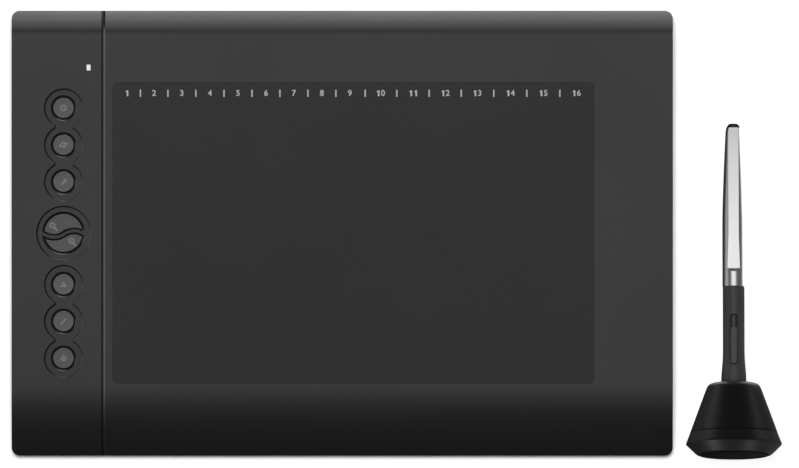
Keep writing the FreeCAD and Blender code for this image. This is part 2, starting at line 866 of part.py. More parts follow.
def lay_pen_down(shape):
    raised = shape.copy()
    raised.translate(V(0, 0, pen_seat_h))
    return lay_down(raised)


def save(name, shape):
    """Write one piece as a STEP file, moved so that the origin is in the middle of the set's footprint."""
    placed = shape.copy()
    placed.translate(V(-set_centre_x, -set_centre_y, 0))
    placed.exportStep(f"parts/{name}.step")
    box = placed.BoundBox
    print(f"{name:18s} solids {len(placed.Solids)} valid {placed.isValid()} volume {placed.Volume:9.1f}"
          f" z {box.ZMin:6.2f} to {box.ZMax:6.2f}")


tablet = {
    "top_cover": top_cover(),
    "bottom_cover": bottom_cover(),
    "case_screws": case_screws(),
    "drawing_film": drawing_film(),
    "sensor_board": sensor_board(),
    "shield_plate": shield_plate(),
    "key_board": key_board(),
    "key_switches": key_switches(),
    "control_board": control_board(),
    "usb_socket": usb_socket(),
    "usb_tongue": usb_tongue(),
    "status_led": status_led(),
    "led_window": led_window(),
    "key_cable": key_cable(),
    "sensor_cable": sensor_cable(),
    "upper_half_key": half_key(1),
    "lower_half_key": half_key(-1),
    "upper_half_plunger": plunger(key_x, pair_switch_y),
    "lower_half_plunger": plunger(key_x, -pair_switch_y),
}
tablet.update(feet())
for number, y in enumerate(round_keys, start=1):
    tablet[f"key_{number}"] = round_key(y)
    tablet[f"key_{number}_plunger"] = plunger(key_x, y)

pen = {
    "pen_grip": pen_grip(),
    "pen_rear_barrel": rear_barrel(),
    "pen_tail_cap": tail_cap(),
    "pen_nib": pen_nib(),
    "pen_rocker": pen_rocker(),
    "pen_board": pen_board(),
    "pen_switches": pen_switches(),
    "pen_ferrite_core": ferrite_core(),
    "pen_coil": coil_winding(),
    "pen_pressure_sensor": pressure_sensor(),
}
stand = {
    "stand_cone": stand_cone(),
    "stand_base": stand_base(),
    "stand_foot_pad": foot_pad(),
    "stand_weight": stand_weight(),
    "nib_tray": nib_tray(),
    "spare_nibs": spare_nibs(),
}
for name, shape in tablet.items():
    save(name, shape)
for name, shape in pen.items():
    save(name, lay_pen_down(shape))
for name, shape in stand.items():
    save(name, lay_down(shape))
pivot_y = stand_foot_y + tip_pivot_h * cos(tilt) - set_centre_y
print(f"tilt {degrees(tilt):.3f} degrees, stand x {stand_x - set_centre_x:.3f}")
print(f"tipping pivot y {pivot_y:.3f} z {tip_pivot_h:.3f}")
print(f"pen axis 0 {cos(tilt):.6f} {-sin(tilt):.6f}")
print(f"set centre {set_centre_x:.3f} {set_centre_y:.3f}")
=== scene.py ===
# %% [markdown]
# A graphics tablet is seen from straight above, with its pen in a conical stand that lies at its right.
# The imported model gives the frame: where every piece is, and which body it moves with. Each piece that
# shows is modelled again here with Blender's own tools, in the place that the frame gives it, and the
# pieces that are hidden inside stay as they are and only get a finish.

# %% Load the frame
import json
from math import acos, asin, cos, degrees, pi, radians, sin, sqrt
import bmesh
import bpy
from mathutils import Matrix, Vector

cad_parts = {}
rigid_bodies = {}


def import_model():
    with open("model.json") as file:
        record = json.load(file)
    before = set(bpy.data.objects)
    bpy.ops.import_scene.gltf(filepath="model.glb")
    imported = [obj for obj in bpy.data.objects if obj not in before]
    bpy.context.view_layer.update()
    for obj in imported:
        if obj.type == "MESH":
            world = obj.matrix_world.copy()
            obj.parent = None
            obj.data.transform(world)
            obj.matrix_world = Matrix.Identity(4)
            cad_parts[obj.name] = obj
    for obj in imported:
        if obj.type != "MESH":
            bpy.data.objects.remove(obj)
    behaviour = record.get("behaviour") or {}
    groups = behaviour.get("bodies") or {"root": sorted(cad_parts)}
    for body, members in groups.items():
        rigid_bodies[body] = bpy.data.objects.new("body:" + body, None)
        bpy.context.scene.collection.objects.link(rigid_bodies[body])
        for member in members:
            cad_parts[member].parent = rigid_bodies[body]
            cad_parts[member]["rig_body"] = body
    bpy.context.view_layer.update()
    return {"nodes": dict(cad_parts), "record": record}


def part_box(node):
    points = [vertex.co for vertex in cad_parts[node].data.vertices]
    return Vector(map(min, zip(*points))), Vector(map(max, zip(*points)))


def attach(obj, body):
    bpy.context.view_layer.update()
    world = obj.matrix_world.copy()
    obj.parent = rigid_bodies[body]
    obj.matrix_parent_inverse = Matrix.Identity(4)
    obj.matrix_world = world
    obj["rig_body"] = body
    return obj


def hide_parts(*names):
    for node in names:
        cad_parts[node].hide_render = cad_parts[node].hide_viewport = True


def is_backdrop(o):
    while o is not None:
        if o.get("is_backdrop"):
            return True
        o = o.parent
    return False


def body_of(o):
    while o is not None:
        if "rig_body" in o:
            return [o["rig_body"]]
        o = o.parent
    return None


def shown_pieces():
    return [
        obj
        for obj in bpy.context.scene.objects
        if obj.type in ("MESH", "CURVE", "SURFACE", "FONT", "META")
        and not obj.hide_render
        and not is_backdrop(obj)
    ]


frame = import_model()

# %% [markdown]
# The sizes are in millimetres, as on a drawing, and MM turns them into Blender's metres. The casing is
# drawn about its own middle and then moved to where the frame has its top cover.

# %% Sizes of the casing
MM = 0.001
tablet_w = 353.1
tablet_d = 237.6
top_z = 10.0
split_z = 2.9
edge_drop = 5.4
far_slope_w = 15.0
near_slope_w = 38.0
roll_steps = 14
corner_r = 4.2
wall_t = 1.9
skin_t = 1.6
cover_lo, cover_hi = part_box("top_cover")
tablet_place = (cover_lo + cover_hi) / 2
tablet_place.z = 0
print("middle of the tablet", tuple(round(v / MM, 3) for v in tablet_place))

# %% [markdown]
# A few helpers stand for what a modeller does all the time with the mouse: pick nothing, pick one
# object, pick the points, edges or faces that lie in a certain place, and make a modifier's result final.

# %% Helpers for picking
def mm(*lengths):
    """Lengths in millimetres as Blender's metres."""
    return tuple(length * MM for length in lengths)


def pick_only(obj):
    if bpy.context.object and bpy.context.object.mode != 'OBJECT':
        bpy.ops.object.mode_set(mode='OBJECT')
    bpy.ops.object.select_all(action='DESELECT')
    if obj:
        obj.select_set(True)
        bpy.context.view_layer.objects.active = obj


def edit(obj, action='DESELECT'):
    """Opens the object for editing, with nothing picked, or with all of it."""
    pick_only(obj)
    bpy.ops.object.mode_set(mode='EDIT')
    bpy.ops.mesh.select_all(action=action)


def pick(obj, kind, test):
    """Opens the object, picks the points, edges or faces that pass the test, and gives their number."""
    edit(obj)
    bpy.ops.mesh.select_mode(type=kind)
    mesh = bmesh.from_edit_mesh(obj.data)
    parts = {'VERT': mesh.verts, 'EDGE': mesh.edges, 'FACE': mesh.faces}[kind]
    picked = [part for part in parts if test(part)]
    for part in picked:
        part.select_set(True)
    bmesh.update_edit_mesh(obj.data)
    return len(picked)


def done(obj):
    bpy.ops.object.mode_set(mode='OBJECT')
    return obj


def settle(obj):
    """Puts the object's place, turn and scale into its mesh, so that it sits at the origin."""
    pick_only(obj)
    bpy.ops.object.transform_apply(location=True, rotation=True, scale=True)
    return obj


def move(obj, x, y, z):
    obj.location = (x, y, z)
    return settle(obj)


def apply_modifier(obj, kind, **settings):
    pick_only(obj)
    modifier = obj.modifiers.new(kind.lower(), kind)
    for name, value in settings.items():
        setattr(modifier, name, value)
    bpy.ops.object.modifier_apply(modifier=modifier.name)
    return obj


# %% [markdown]
# Machining is Boolean work: a tool body is made, taken away from the piece (or joined to it, or only
# what both share is kept), and then thrown away. The exact solver keeps crisp edges crisp.

# %% Helpers for Booleans and for bevels
def combine(obj, tool, how='DIFFERENCE'):
    apply_modifier(obj, 'BOOLEAN', operation=how, solver='EXACT', object=tool)
    bpy.data.objects.remove(tool, do_unlink=True)
    return obj


def joined(parts):
    """Separate objects as one. Tools that are joined cut all at once."""
    pick_only(parts[0])
    for part in parts:
        part.select_set(True)
    bpy.ops.object.join()
    return parts[0]


def bevel(obj, width, steps, test):
    """Rounds the edges that pass the test, and gives their number. Width in millimetres."""
    count = pick(obj, 'EDGE', test)
    if count:
        bpy.ops.mesh.bevel(offset=width * MM, segments=steps, affect='EDGES', clamp_overlap=True)
    done(obj)
    return count


def tidy_normals(obj):
    edit(obj, 'SELECT')
    bpy.ops.mesh.remove_doubles(threshold=1e-6)
    bpy.ops.mesh.normals_make_consistent(inside=False)
    return done(obj)


def is_open(e):
    """An edge that doesn't join exactly two faces. A closed solid has none."""
    return len(e.link_faces) != 2


def open_edges(obj):
    count = pick(obj, 'EDGE', is_open)
    done(obj)
    return count


def above(e, z):
    """Whether the whole edge lies above a height, in millimetres."""
    return all(v.co.z > z * MM for v in e.verts)


def meets(e, steep, level):
    """Whether the edge joins a face steeper than the first limit to one more level than the second."""
    up = sorted(f.normal.z for f in e.link_faces)
    return len(up) == 2 and up[0] < steep and up[1] > level


def fold(e):
    """The cosine of the angle between an edge's two faces: 1 where they run on flat."""
    faces = e.link_faces
    return faces[0].normal.dot(faces[1].normal) if len(faces) == 2 else 1


def smooth(obj, limit=30):
    """Smooth shading that keeps edges sharper than the limit, with flat faces kept flat."""
    pick_only(obj)
    bpy.ops.object.shade_smooth_by_angle(angle=radians(limit))
    apply_modifier(obj, 'WEIGHTED_NORMAL', keep_sharp=True)
    return obj


# %% [markdown]
# Every form starts as a block, a disc or a plane. A block is given by its ends, and about() gives the
# two ends of a side that lies about a middle.

# %% Helpers for simple forms
def made(name):
    """Names the object that was added last, and settles it."""
    bpy.context.object.name = name
    return settle(bpy.context.object)


def about(middle, width):
    return middle - width / 2, middle + width / 2


def block(name, x0, x1, y0, y1, z0, z1):
    pick_only(None)
    place = [(a + b) / 2 * MM for a, b in ((x0, x1), (y0, y1), (z0, z1))]
    size = [(b - a) * MM for a, b in ((x0, x1), (y0, y1), (z0, z1))]
    bpy.ops.mesh.primitive_cube_add(size=1, location=place, scale=size)
    return made(name)


def rounded_block(name, x0, x1, y0, y1, z0, z1, r, steps=8, axis=2):
    """A block whose edges along one axis are rounded."""
    def along(e):
        way = e.verts[0].co - e.verts[1].co
        return way.length > 0 and abs(way[axis]) > 0.99 * way.length

    obj = block(name, x0, x1, y0, y1, z0, z1)
    bevel(obj, r, steps, along)
    return obj


def disc(name, sides, r, x=0.0, y=0.0, z=0.0):
    pick_only(None)
    bpy.ops.mesh.primitive_circle_add(vertices=sides, radius=r * MM, location=mm(x, y, z), fill_type='NGON')
    return made(name)


def upright_plane(name, place, width, height, turn=0.0):
    pick_only(None)
    bpy.ops.mesh.primitive_plane_add(size=1, location=mm(*place), rotation=(pi / 2, 0, turn))
    bpy.context.object.scale = (width * MM, height * MM, 1)
    return made(name)


# %% [markdown]
# What is picked is then drawn out, widened or spun. Round pieces are drawn up ring by ring, as a potter
# raises a wall: a circle is extruded to the next height and resized to the next radius. One list of
# rings is the whole drawing of such a piece, and a ring can be drawn back down inside, so hollow pieces
# come out in one go.

# %% Helpers for drawing out and turning
def draw_out(*way):
    bpy.ops.mesh.extrude_region_move(TRANSFORM_OT_translate={"value": mm(*way)})


def widen(share_x, share_y, centre):
    bpy.ops.transform.resize(value=(share_x, share_y, 1), center_override=mm(*centre))


def spin(steps, angle, centre, axis):
    """Spins what is picked. With no window, Blender turns it the other way round than with one."""
    bpy.ops.mesh.spin(steps=steps, dupli=False, angle=angle, center=mm(*centre), axis=axis)


def turned(name, rings, sides=96, x=0.0, y=0.0):
    r, h = rings[0]
    obj = disc(name, sides, r, x, y, h)
    edit(obj, 'SELECT')
    for (r0, h0), (r1, h1) in zip(rings, rings[1:]):
        draw_out(0, 0, h1 - h0)
        widen(r1 / r0, r1 / r0, (x, y, h1))
    done(obj)
    return tidy_normals(obj)


# %% [markdown]
# The casing's section across its depth is flat in the middle and rolls down to both long edges: gently
# towards the user and more tightly at the far side. It is drawn as a strip. A low wall is spun round
# the near roll's centre, drawn out over the flat, spun round the far roll's centre and dropped to the
# parting line. The open ends are then filled, and a block with rounded upright edges trims the outline.

# %% The casing's form
def roll_radius(width):
    """The radius of an arc that starts level and drops by edge_drop over this width."""
    return (width**2 + edge_drop**2) / (2 * edge_drop)


near_roll_r = roll_radius(near_slope_w)
far_roll_r = roll_radius(far_slope_w)
near_turn = asin(near_slope_w / near_roll_r)
far_turn = asin(far_slope_w / far_roll_r)


def rolled_form(name, inset, top, bottom):
    half_w = tablet_w / 2 - inset
    near = -tablet_d / 2 + inset
    far = tablet_d / 2 - inset
    edge_z = top - edge_drop
    obj = block(name, -half_w, half_w, near, near + 1, bottom, edge_z)
    pick(obj, 'FACE', lambda f: f.normal.y > -0.5)
    bpy.ops.mesh.delete(type='FACE')
    pick(obj, 'EDGE', lambda e: above(e, edge_z - 0.01))
    spin(roll_steps, near_turn, (0, near + near_slope_w, top - near_roll_r), (1, 0, 0))
    draw_out(0, far - far_slope_w - near - near_slope_w, 0)
    spin(roll_steps, far_turn, (0, far - far_slope_w, top - far_roll_r), (1, 0, 0))
    draw_out(0, 0, bottom - edge_z)
    pick(obj, 'EDGE', lambda e: e.is_boundary and all(v.co.z < (bottom + 0.01) * MM for v in e.verts))
    bpy.ops.mesh.edge_face_add()
    bpy.ops.mesh.select_all(action='SELECT')
    bpy.ops.mesh.fill_holes(sides=0)
    done(obj)
    tidy_normals(obj)
    r = corner_r - inset / 2
    outline = rounded_block("outline", -half_w, half_w, near, far, bottom - 1, top + 1, r)
    return combine(obj, outline, 'INTERSECT')


cover = rolled_form("top_cover_shell", 0, top_z, split_z)
print("casing form:", len(cover.data.vertices), "points")

# %% [markdown]
# The rim where the top meets the walls is rounded: broadly at the two ends, where it shows as a thin dark
# line, and finely along the two long edges. That dark line is partly the rounding and partly painted shade,
# a darker plastic that the ends and the near edge are given further on. A Bevel modifier does both roundings
# at once, because it reads a weight from each edge, and the weight fades round the corners. It is done now,
# while the form has few faces.
# Then the inside is taken out with a smaller copy of the same form, less a pad under the keys, because
# the hollows round the keys would thin the skin.

# %% Rim and inside
key_x = -148.8
key_pitch = 19.7
key_group_y = 47.1
dish_r = 10.45
dish_depth = 0.9
dish_neck_w = 9.8
pair_dish_r = 14.6
rim_round = 1.5
long_rim_share = 0.3
round_keys = [side * key_group_y + step * key_pitch for side in (1, -1) for step in (1, 0, -1)]
dish_z = top_z - dish_depth
dish_under_z = dish_z - skin_t


def on_rim(e):
    """An edge between a wall and the top, above the parting line."""
    return meets(e, 0.2, 0.5) and above(e, split_z + 0.5)


def round_rim(obj):
    count = pick(obj, 'EDGE', on_rim)
    done(obj)
    weights = obj.data.attributes.new("bevel_weight_edge", 'FLOAT', 'EDGE')
    for e in obj.data.edges:
        if e.select:
            x = sum(abs(obj.data.vertices[v].co.x) for v in e.vertices) / 2 / MM
            share = min(max((x - tablet_w / 2 + corner_r) / corner_r, 0), 1)
            weights.data[e.index].value = long_rim_share + (1 - long_rim_share) * share**2
    apply_modifier(obj, 'BEVEL', limit_method='WEIGHT', width=rim_round * MM, segments=4)
    obj.data.attributes.remove(obj.data.attributes["bevel_weight_edge"])
    return count


print("rim edges rounded:", round_rim(cover))
inside = rolled_form("inside", wall_t, top_z - skin_t, split_z - 1)
pad_sides = (2 * (pair_dish_r + 1), 2 * (key_group_y + key_pitch + dish_r + 1))
combine(inside, block("key_pad", *about(key_x, pad_sides[0]), *about(0, pad_sides[1]), dish_under_z, top_z))
combine(cover, inside)

# %% [markdown]
# Each key stands in a shallow round hollow. Its wall slopes at the upper left and is nearly upright at the
# lower right, so its outline is a clear dark line on one side and fades on the other. Three hollows in a
# row are joined by a narrower neck, so their outline runs in cusps, and the large pair has a hollow of its
# own. All are cut with discs whose lower ring is smaller and set off a little, and two blocks.

# %% Hollows round the keys
dish_set_off = (0.26, -0.2)
neck_slope = 0.6


def under_top(v):
    return v.co.z < (top_z - 0.1) * MM


def dish_tool(y, r):
    rings = [(r - 0.55, dish_z), (r - 0.36, dish_z + 0.12), (r, top_z), (r, top_z + 1)]
    tool = turned("dish_tool", rings, 96, key_x, y)
    pick(tool, 'VERT', under_top)
    bpy.ops.transform.translate(value=mm(*dish_set_off, 0))
    return done(tool)


def neck_tool(y):
    """A block whose left side slopes as the discs' walls do at the left."""
    tool = block("neck", *about(key_x, dish_neck_w), *about(y, 2 * key_pitch), dish_z, top_z)
    pick(tool, 'VERT', lambda v: under_top(v) and v.co.x < key_x * MM)
    bpy.ops.transform.translate(value=mm(neck_slope, 0, 0))
    pick(tool, 'FACE', lambda f: f.normal.z > 0.9)
    draw_out(0, 0, 1)
    return done(tool)


def on_dish_rim(e):
    x = sum(v.co.x for v in e.verts) / 2 / MM
    return meets(e, 0.8, 0.99) and above(e, top_z - 0.01) and abs(x - key_x) < pair_dish_r + 0.1


for side in (1, -1):
    combine(cover, neck_tool(side * key_group_y))
for y in round_keys:
    combine(cover, dish_tool(y, dish_r))
combine(cover, dish_tool(0, pair_dish_r))
print("dish rim edges softened:", bevel(cover, 0.16, 2, on_dish_rim))

# %% [markdown]
# The key holes are drilled with a countersink, a broad chamfer that is black where it faces the user and
# light where it faces the far side. Between the two half-round keys a slim bridge runs in a wave.
# It is made as a small upright face that is spun round the wave's crest and then, the other way, round
# its dip, so both arcs meet without a kink. The large hole is cut with a disc that lacks this bridge, and
# its countersink with a cone that lacks the same wave, narrowed at its top.

# %% Key holes and the wavy bridge
hole_r = 6.45
hole_lip = 0.8
sink_w = 1.2
pair_hole_r = 11.0
pair_lip = 0.65
pair_sink_w = 1.15
sink_share = 0.7
bridge_w = 1.9
bridge_top_w = 1.5
bridge_arc_r = 9.6
bridge_rise = 1.7
bridge_mid = (key_x + 0.25, -0.6)
bridge_end_deg = 55.0
wave_steps = 40


def wave_band(width, z0, z1, top_width=None):
    """A wall that runs in the bridge's wave. With a top width, it narrows towards its top."""
    sweep = acos(1 - bridge_rise / bridge_arc_r)
    reach = radians(bridge_end_deg)
    crest_x = bridge_mid[0] + bridge_arc_r * sin(sweep)
    crest_y = bridge_mid[1] + bridge_rise - bridge_arc_r
    start = pi / 2 - reach
    place = (crest_x + bridge_arc_r * cos(start), crest_y + bridge_arc_r * sin(start), (z0 + z1) / 2)
    band = upright_plane("wave_band", place, width, z1 - z0, start)
    if top_width:
        pick(band, 'VERT', lambda v: v.co.z > place[2] * MM)
        widen(top_width / width, top_width / width, place)
    edit(band, 'SELECT')
    spin(wave_steps, -(sweep + reach), (crest_x, crest_y, 0), (0, 0, 1))
    spin(wave_steps, sweep + reach, (2 * bridge_mid[0] - crest_x, 2 * bridge_mid[1] - crest_y, 0), (0, 0, 1))
    done(band)
    return tidy_normals(band)


def drill(r, y, sides):
    return turned("drill", [(r, dish_under_z - 1), (r, dish_z + 0.5)], sides, key_x, y)


def sink_tool(r, width, y, sides):
    """A cone that opens a hole of radius r by this width, and runs on past both ends of the chamfer."""
    over = 0.2 * width
    low = (r - over, dish_z - (width + over) * sink_share)
    high = (r + width + over, dish_z + over * sink_share)
    return turned("sink", [low, high], sides, key_x, y)


lip_r = hole_r - hole_lip
pair_lip_r = pair_hole_r - pair_lip
bridge_foot_w = bridge_w + 2 * pair_lip
drills = [drill(pair_lip_r, 0, 128)] + [drill(lip_r, y, 96) for y in round_keys]
sinks = [sink_tool(pair_lip_r, pair_sink_w, 0, 128)] + [sink_tool(lip_r, sink_w, y, 96) for y in round_keys]
combine(drills[0], wave_band(bridge_foot_w, dish_under_z - 2, dish_z + 1))
sink_depth = pair_sink_w * sink_share
sink_low, sink_high = -1.5 * sink_depth, 0.4 * sink_depth
per_mm = (bridge_foot_w - bridge_top_w) / sink_depth
combine(sinks[0], wave_band(bridge_top_w - sink_low * per_mm, dish_z + sink_low, dish_z + sink_high,
                            bridge_top_w - sink_high * per_mm))
print("hole tools:", len(drills), "countersinks:", len(sinks))

# %% [markdown]
# A fine groove runs from one long edge to the other beside the key strip. From above it shows a dark line
# and a light one, so it is a V with a steep left side and a gentle right side. Its tool is one small
# four-sided face, narrowed at its foot, that is spun down over the near roll, drawn out over the flat and
# spun down over the far roll, in the same steps as the casing, so the depth stays even. The key holes,
# the film's bed, the lamp's window and the port in the left end are cut together with it. These cuts
# drop one small face of the far roll, so what is open in the cover is filled again afterwards.

# %% Groove, film bed, lamp hole and port
groove_left = -128.55
groove_foot = -127.85
groove_right = -126.55
groove_depth = 0.75
groove_lift = 0.3
groove_foot_share = 0.04
film_x = 6.05
film_w = 257.1
film_d = 160.5
film_t = 0.35
film_gap = 0.05
film_corner_r = 2.7
led_x = -135.4
led_y = 88.4
led_w = 2.2
led_d = 3.2
port_y = 92.0
port_z = 5.18
port_w = 9.64
port_h = 3.86


def groove_tool():
    grow = 1 + groove_lift / groove_depth
    left = groove_foot + (groove_left - groove_foot) * grow
    right = groove_foot + (groove_right - groove_foot) * grow
    near_flat = -tablet_d / 2 + near_slope_w
    flat = tablet_d - near_slope_w - far_slope_w
    place = ((left + right) / 2, near_flat, top_z + (groove_lift - groove_depth) / 2)
    tool = upright_plane("groove_tool", place, right - left, groove_lift + groove_depth)
    pick(tool, 'VERT', lambda v: v.co.z < top_z * MM)
    widen(groove_foot_share, 1, (groove_foot, near_flat, 0))
    edit(tool, 'SELECT')
    # One step more than the casing has, so that the tool runs out through the rim.
    steps = roll_steps + 1
    spin(steps, -near_turn * steps / roll_steps, (0, near_flat, top_z - near_roll_r), (1, 0, 0))
    pick(tool, 'FACE', lambda f: all(abs(v.co.y / MM - near_flat) < 0.001 for v in f.verts))
    draw_out(0, flat, 0)
    spin(steps, far_turn * steps / roll_steps, (0, near_flat + flat, top_z - far_roll_r), (1, 0, 0))
    done(tool)
    tidy_normals(tool)
    print("groove tool:", len(tool.data.polygons), "faces, open edges:", open_edges(tool))
    return tool


bed = rounded_block("film_bed", *about(film_x, film_w), *about(0, film_d), top_z - film_t, top_z + 1, film_corner_r)
led_hole = block("led_hole", *about(led_x, led_w), *about(led_y, led_d), 4, top_z + 1)
end_x = -tablet_w / 2
port = rounded_block("port_hole", end_x - 1, end_x + wall_t + 1, *about(port_y, port_w), *about(port_z, port_h),
                     port_h / 2 - 0.01, 8, 0)
combine(cover, joined([groove_tool(), bed, led_hole, port] + drills))
print("cover cut, open edges:", open_edges(cover))
combine(cover, joined(sinks))
print("holes sunk, open edges:", open_edges(cover))
edit(cover)
bpy.ops.mesh.select_non_manifold()
bpy.ops.mesh.fill_holes(sides=12)
done(cover)
tidy_normals(cover)


def on_bed_edge(e):
    """The upper edges of the film's bed, on the flat of the casing."""
    x = sum(v.co.x for v in e.verts) / 2 / MM
    return meets(e, 0.3, 0.99) and above(e, top_z - 0.01) and x > groove_left - 0.5


print("bed edges softened:", bevel(cover, 0.18, 2, on_bed_edge))
print("top cover, open edges:", open_edges(cover))
smooth(cover, 25)
move(cover, *tablet_place)
print("top cover:", len(cover.data.polygons), "faces")

# %% [markdown]
# The drawing film is a thin sheet with rounded corners that lies flush in its bed. Its upper edge is
# broken by a hair.

# %% Drawing film
film = rounded_block("film_sheet", *about(film_x, film_w - 2 * film_gap), *about(0, film_d - 2 * film_gap),
                     top_z - film_t, top_z - film_gap, film_corner_r)
bevel(film, 0.12, 2, lambda e: above(e, top_z - film_gap - 0.01))
smooth(film, 30)
move(film, *tablet_place)
print("film:", len(film.data.polygons), "faces")

# %% [markdown]
# Along the film's far edge runs a row of printed numbers with short bars between them. Each digit is a
# text object, made a mesh before it is placed, and all of them are joined into one thin printed layer.

# %% Number row
pixel = 0.5344
middle_px = 342.5
number_y = 74.65
number_height = 3.1
digit_share = 0.71
digit_pitch = 2.65
digit_bolder = 0.09
digit_half_t = 0.01
bar_w = 0.75
bar_h = 3.85
number_px = [127.4, 154.5, 182.3, 210.4, 238.5, 266.4, 294.2, 322.3, 350.2,
             380.8, 413.4, 445.5, 477.5, 510.5, 543.5, 576.5]
number_x = [(px - middle_px) * pixel for px in number_px]


def text_digit(digit):
    pick_only(None)
    bpy.ops.object.text_add(location=(0, 0, 0))
    text = bpy.context.object
    text.data.body = digit
    text.data.align_x = 'CENTER'
    text.data.align_y = 'CENTER'
    text.data.size = number_height / digit_share * MM
    text.data.offset = digit_bolder * MM
    text.data.extrude = digit_half_t * MM
    bpy.ops.object.convert(target='MESH')
    return bpy.context.object


def one_digit():
    """The font's 1 is a plain bar, which reads as one of the row's bars, so this one gets a flag."""
    half_h = number_height / 2
    stem = block("one", -0.1, 0.8, -half_h, half_h, -0.01, 0.01)
    flag = block("flag", -0.5, 0.75, -0.36, 0.36, -0.011, 0.011)
    flag.rotation_euler = (0, 0, radians(32))
    flag.location = mm(-0.12, half_h - 0.55, 0)
    return combine(stem, settle(flag), 'UNION')


def printed_number(text, x):
    digits = []
    for i, digit in enumerate(text):
        obj = one_digit() if digit == "1" else text_digit(digit)
        place = x + (i - (len(text) - 1) / 2) * digit_pitch
        digits.append(move(obj, *mm(place, number_y, top_z - 0.035)))
    return digits


marks = [digit for i, x in enumerate(number_x, start=1) for digit in printed_number(str(i), x)]
for a, b in zip(number_x, number_x[1:]):
    marks.append(block("bar", *about((a + b) / 2, bar_w), *about(number_y, bar_h), top_z - 0.05, top_z - 0.025))
number_row = joined(marks)
number_row.name = "number_row"
move(number_row, *tablet_place)
print("number row:", len(number_row.data.polygons), "faces")

# %% [markdown]
# A key is a dished cap with a soft rim, on a square plate that stops it under the cover, with a stem
# that pushes its switch. The cap is turned ring by ring: up the wall, round the rim and down into the
# dish. The plate and the stem are joined to it as one moulding.

# %% Round keys
cap_r = 5.5
pair_cap_r = pair_hole_r - 0.8
cap_top_z = top_z - 0.8
cap_dish = 0.12
plate_top_z = dish_under_z - 0.2
plate_z = plate_top_z - 0.8
plate_margin = 0.7
stem_z = 6.05
stem_w = 3.0


def dished_cap(name, r, y, sides):
    rings = [(r, plate_top_z - 0.1), (r, cap_top_z - 0.25), (r - 0.08, cap_top_z - 0.08), (r - 0.25, cap_top_z),
             (r - 0.6, cap_top_z - 0.05)]
    for share in (0.84, 0.7, 0.5, 0.3, 0.12):
        rings.append((r * share, cap_top_z - cap_dish + 0.06 * share**2))
    return turned(name, rings, sides, key_x, y)


def key_plate_for(r, y):
    side = 2 * (r + plate_margin)
    return rounded_block("plate", *about(key_x, side), *about(y, side), plate_z, plate_top_z, 0.8, 4)


def key_stem(y):
    return block("stem", *about(key_x, stem_w), *about(y, stem_w), stem_z, plate_z + 0.1)


def round_key(number, y):
    cap = dished_cap(f"key_{number}_cap", cap_r, y, 72)
    return combine(combine(cap, key_plate_for(hole_r, y), 'UNION'), key_stem(y), 'UNION')


keys = {f"key_{i}": round_key(i, y) for i, y in enumerate(round_keys, start=1)}
print("round keys:", list(keys), len(keys["key_1"].data.polygons), "faces each")

# %% [markdown]
# The two half keys start as one large dished cap and one plate. The wave band of the bridge, let out by
# the gap on both sides, cuts each in two, and all that hangs together with the other key's side is
# deleted. Cutting both from one cap makes their dish run on across the bridge.

# %% Half-round keys
cap_gap = 0.8
plate_gap = 1.0
half_stem_y = 5.6
other_side = -5.0


def half_key(name, side):
    cap = dished_cap(name, pair_cap_r, 0, 128)
    combine(cap, wave_band(bridge_w + 2 * cap_gap, plate_top_z - 1, top_z + 1))
    plate = key_plate_for(pair_hole_r, 0)
    combine(plate, wave_band(plate_gap, plate_z - 1, top_z))
    piece = combine(combine(cap, plate, 'UNION'), key_stem(side * half_stem_y), 'UNION')
    pick(piece, 'VERT', lambda v: v.co.y * side < other_side * MM)
    bpy.ops.mesh.select_linked()
    bpy.ops.mesh.delete(type='VERT')
    return done(piece)


def on_cut_edge(e):
    return meets(e, 0.05, 0.3) and above(e, cap_top_z - 0.6)


for name, side in (("upper_half", 1), ("lower_half", -1)):
    key = keys[f"{name}_key"] = half_key(f"{name}_cap", side)
    print(name, "cut edges rounded:", bevel(key, 0.3, 3, on_cut_edge))
for obj in keys.values():
    smooth(obj, 40)

# %% [markdown]
# Each key carries a faint mark, so that a finger and an eye can tell the keys apart. The marks are
# simple signs of this lesson's own: rings, frames and a triangle with short bars and dots, and on the
# half keys a small lens with a handle. They are flat outlines, laid on the dish as a print that stands
# a few hundredths of a millimetre proud.

# %% Marks on the keys
mark_t = 0.04
mark_z = cap_top_z - 0.06


def placed(obj, x, y, turn, scale_x, scale_y):
    obj.scale = (scale_x, scale_y, 1)
    obj.rotation_euler = (0, 0, radians(turn))
    return move(obj, *mm(x, y, 0))


def frame_mark(sides, r, x, y, turn=0.0, width=0.42, stretch=1.0):
    """A many-sided frame: an inset disc whose middle is deleted."""
    obj = disc("frame", sides, r)
    edit(obj, 'SELECT')
    bpy.ops.mesh.inset(thickness=width * MM)
    bpy.ops.mesh.delete(type='FACE')
    return placed(done(obj), x, y, turn, stretch, 1)


def bar_mark(length, width, x, y, turn=0.0):
    pick_only(None)
    bpy.ops.mesh.primitive_plane_add(size=1, location=(0, 0, 0))
    return placed(bpy.context.object, x, y, turn, length * MM, width * MM)


def dot_mark(r, x, y):
    return disc("dot", 24, r, x, y)


def lay_marks(name, parts, x, y, z):
    """Joins the parts of a mark, gives them a hair of thickness and lays them on the key."""
    obj = joined(parts)
    obj.name = name
    apply_modifier(obj, 'SOLIDIFY', thickness=mark_t * MM, offset=0)
    return move(obj, *mm(x, y, z))


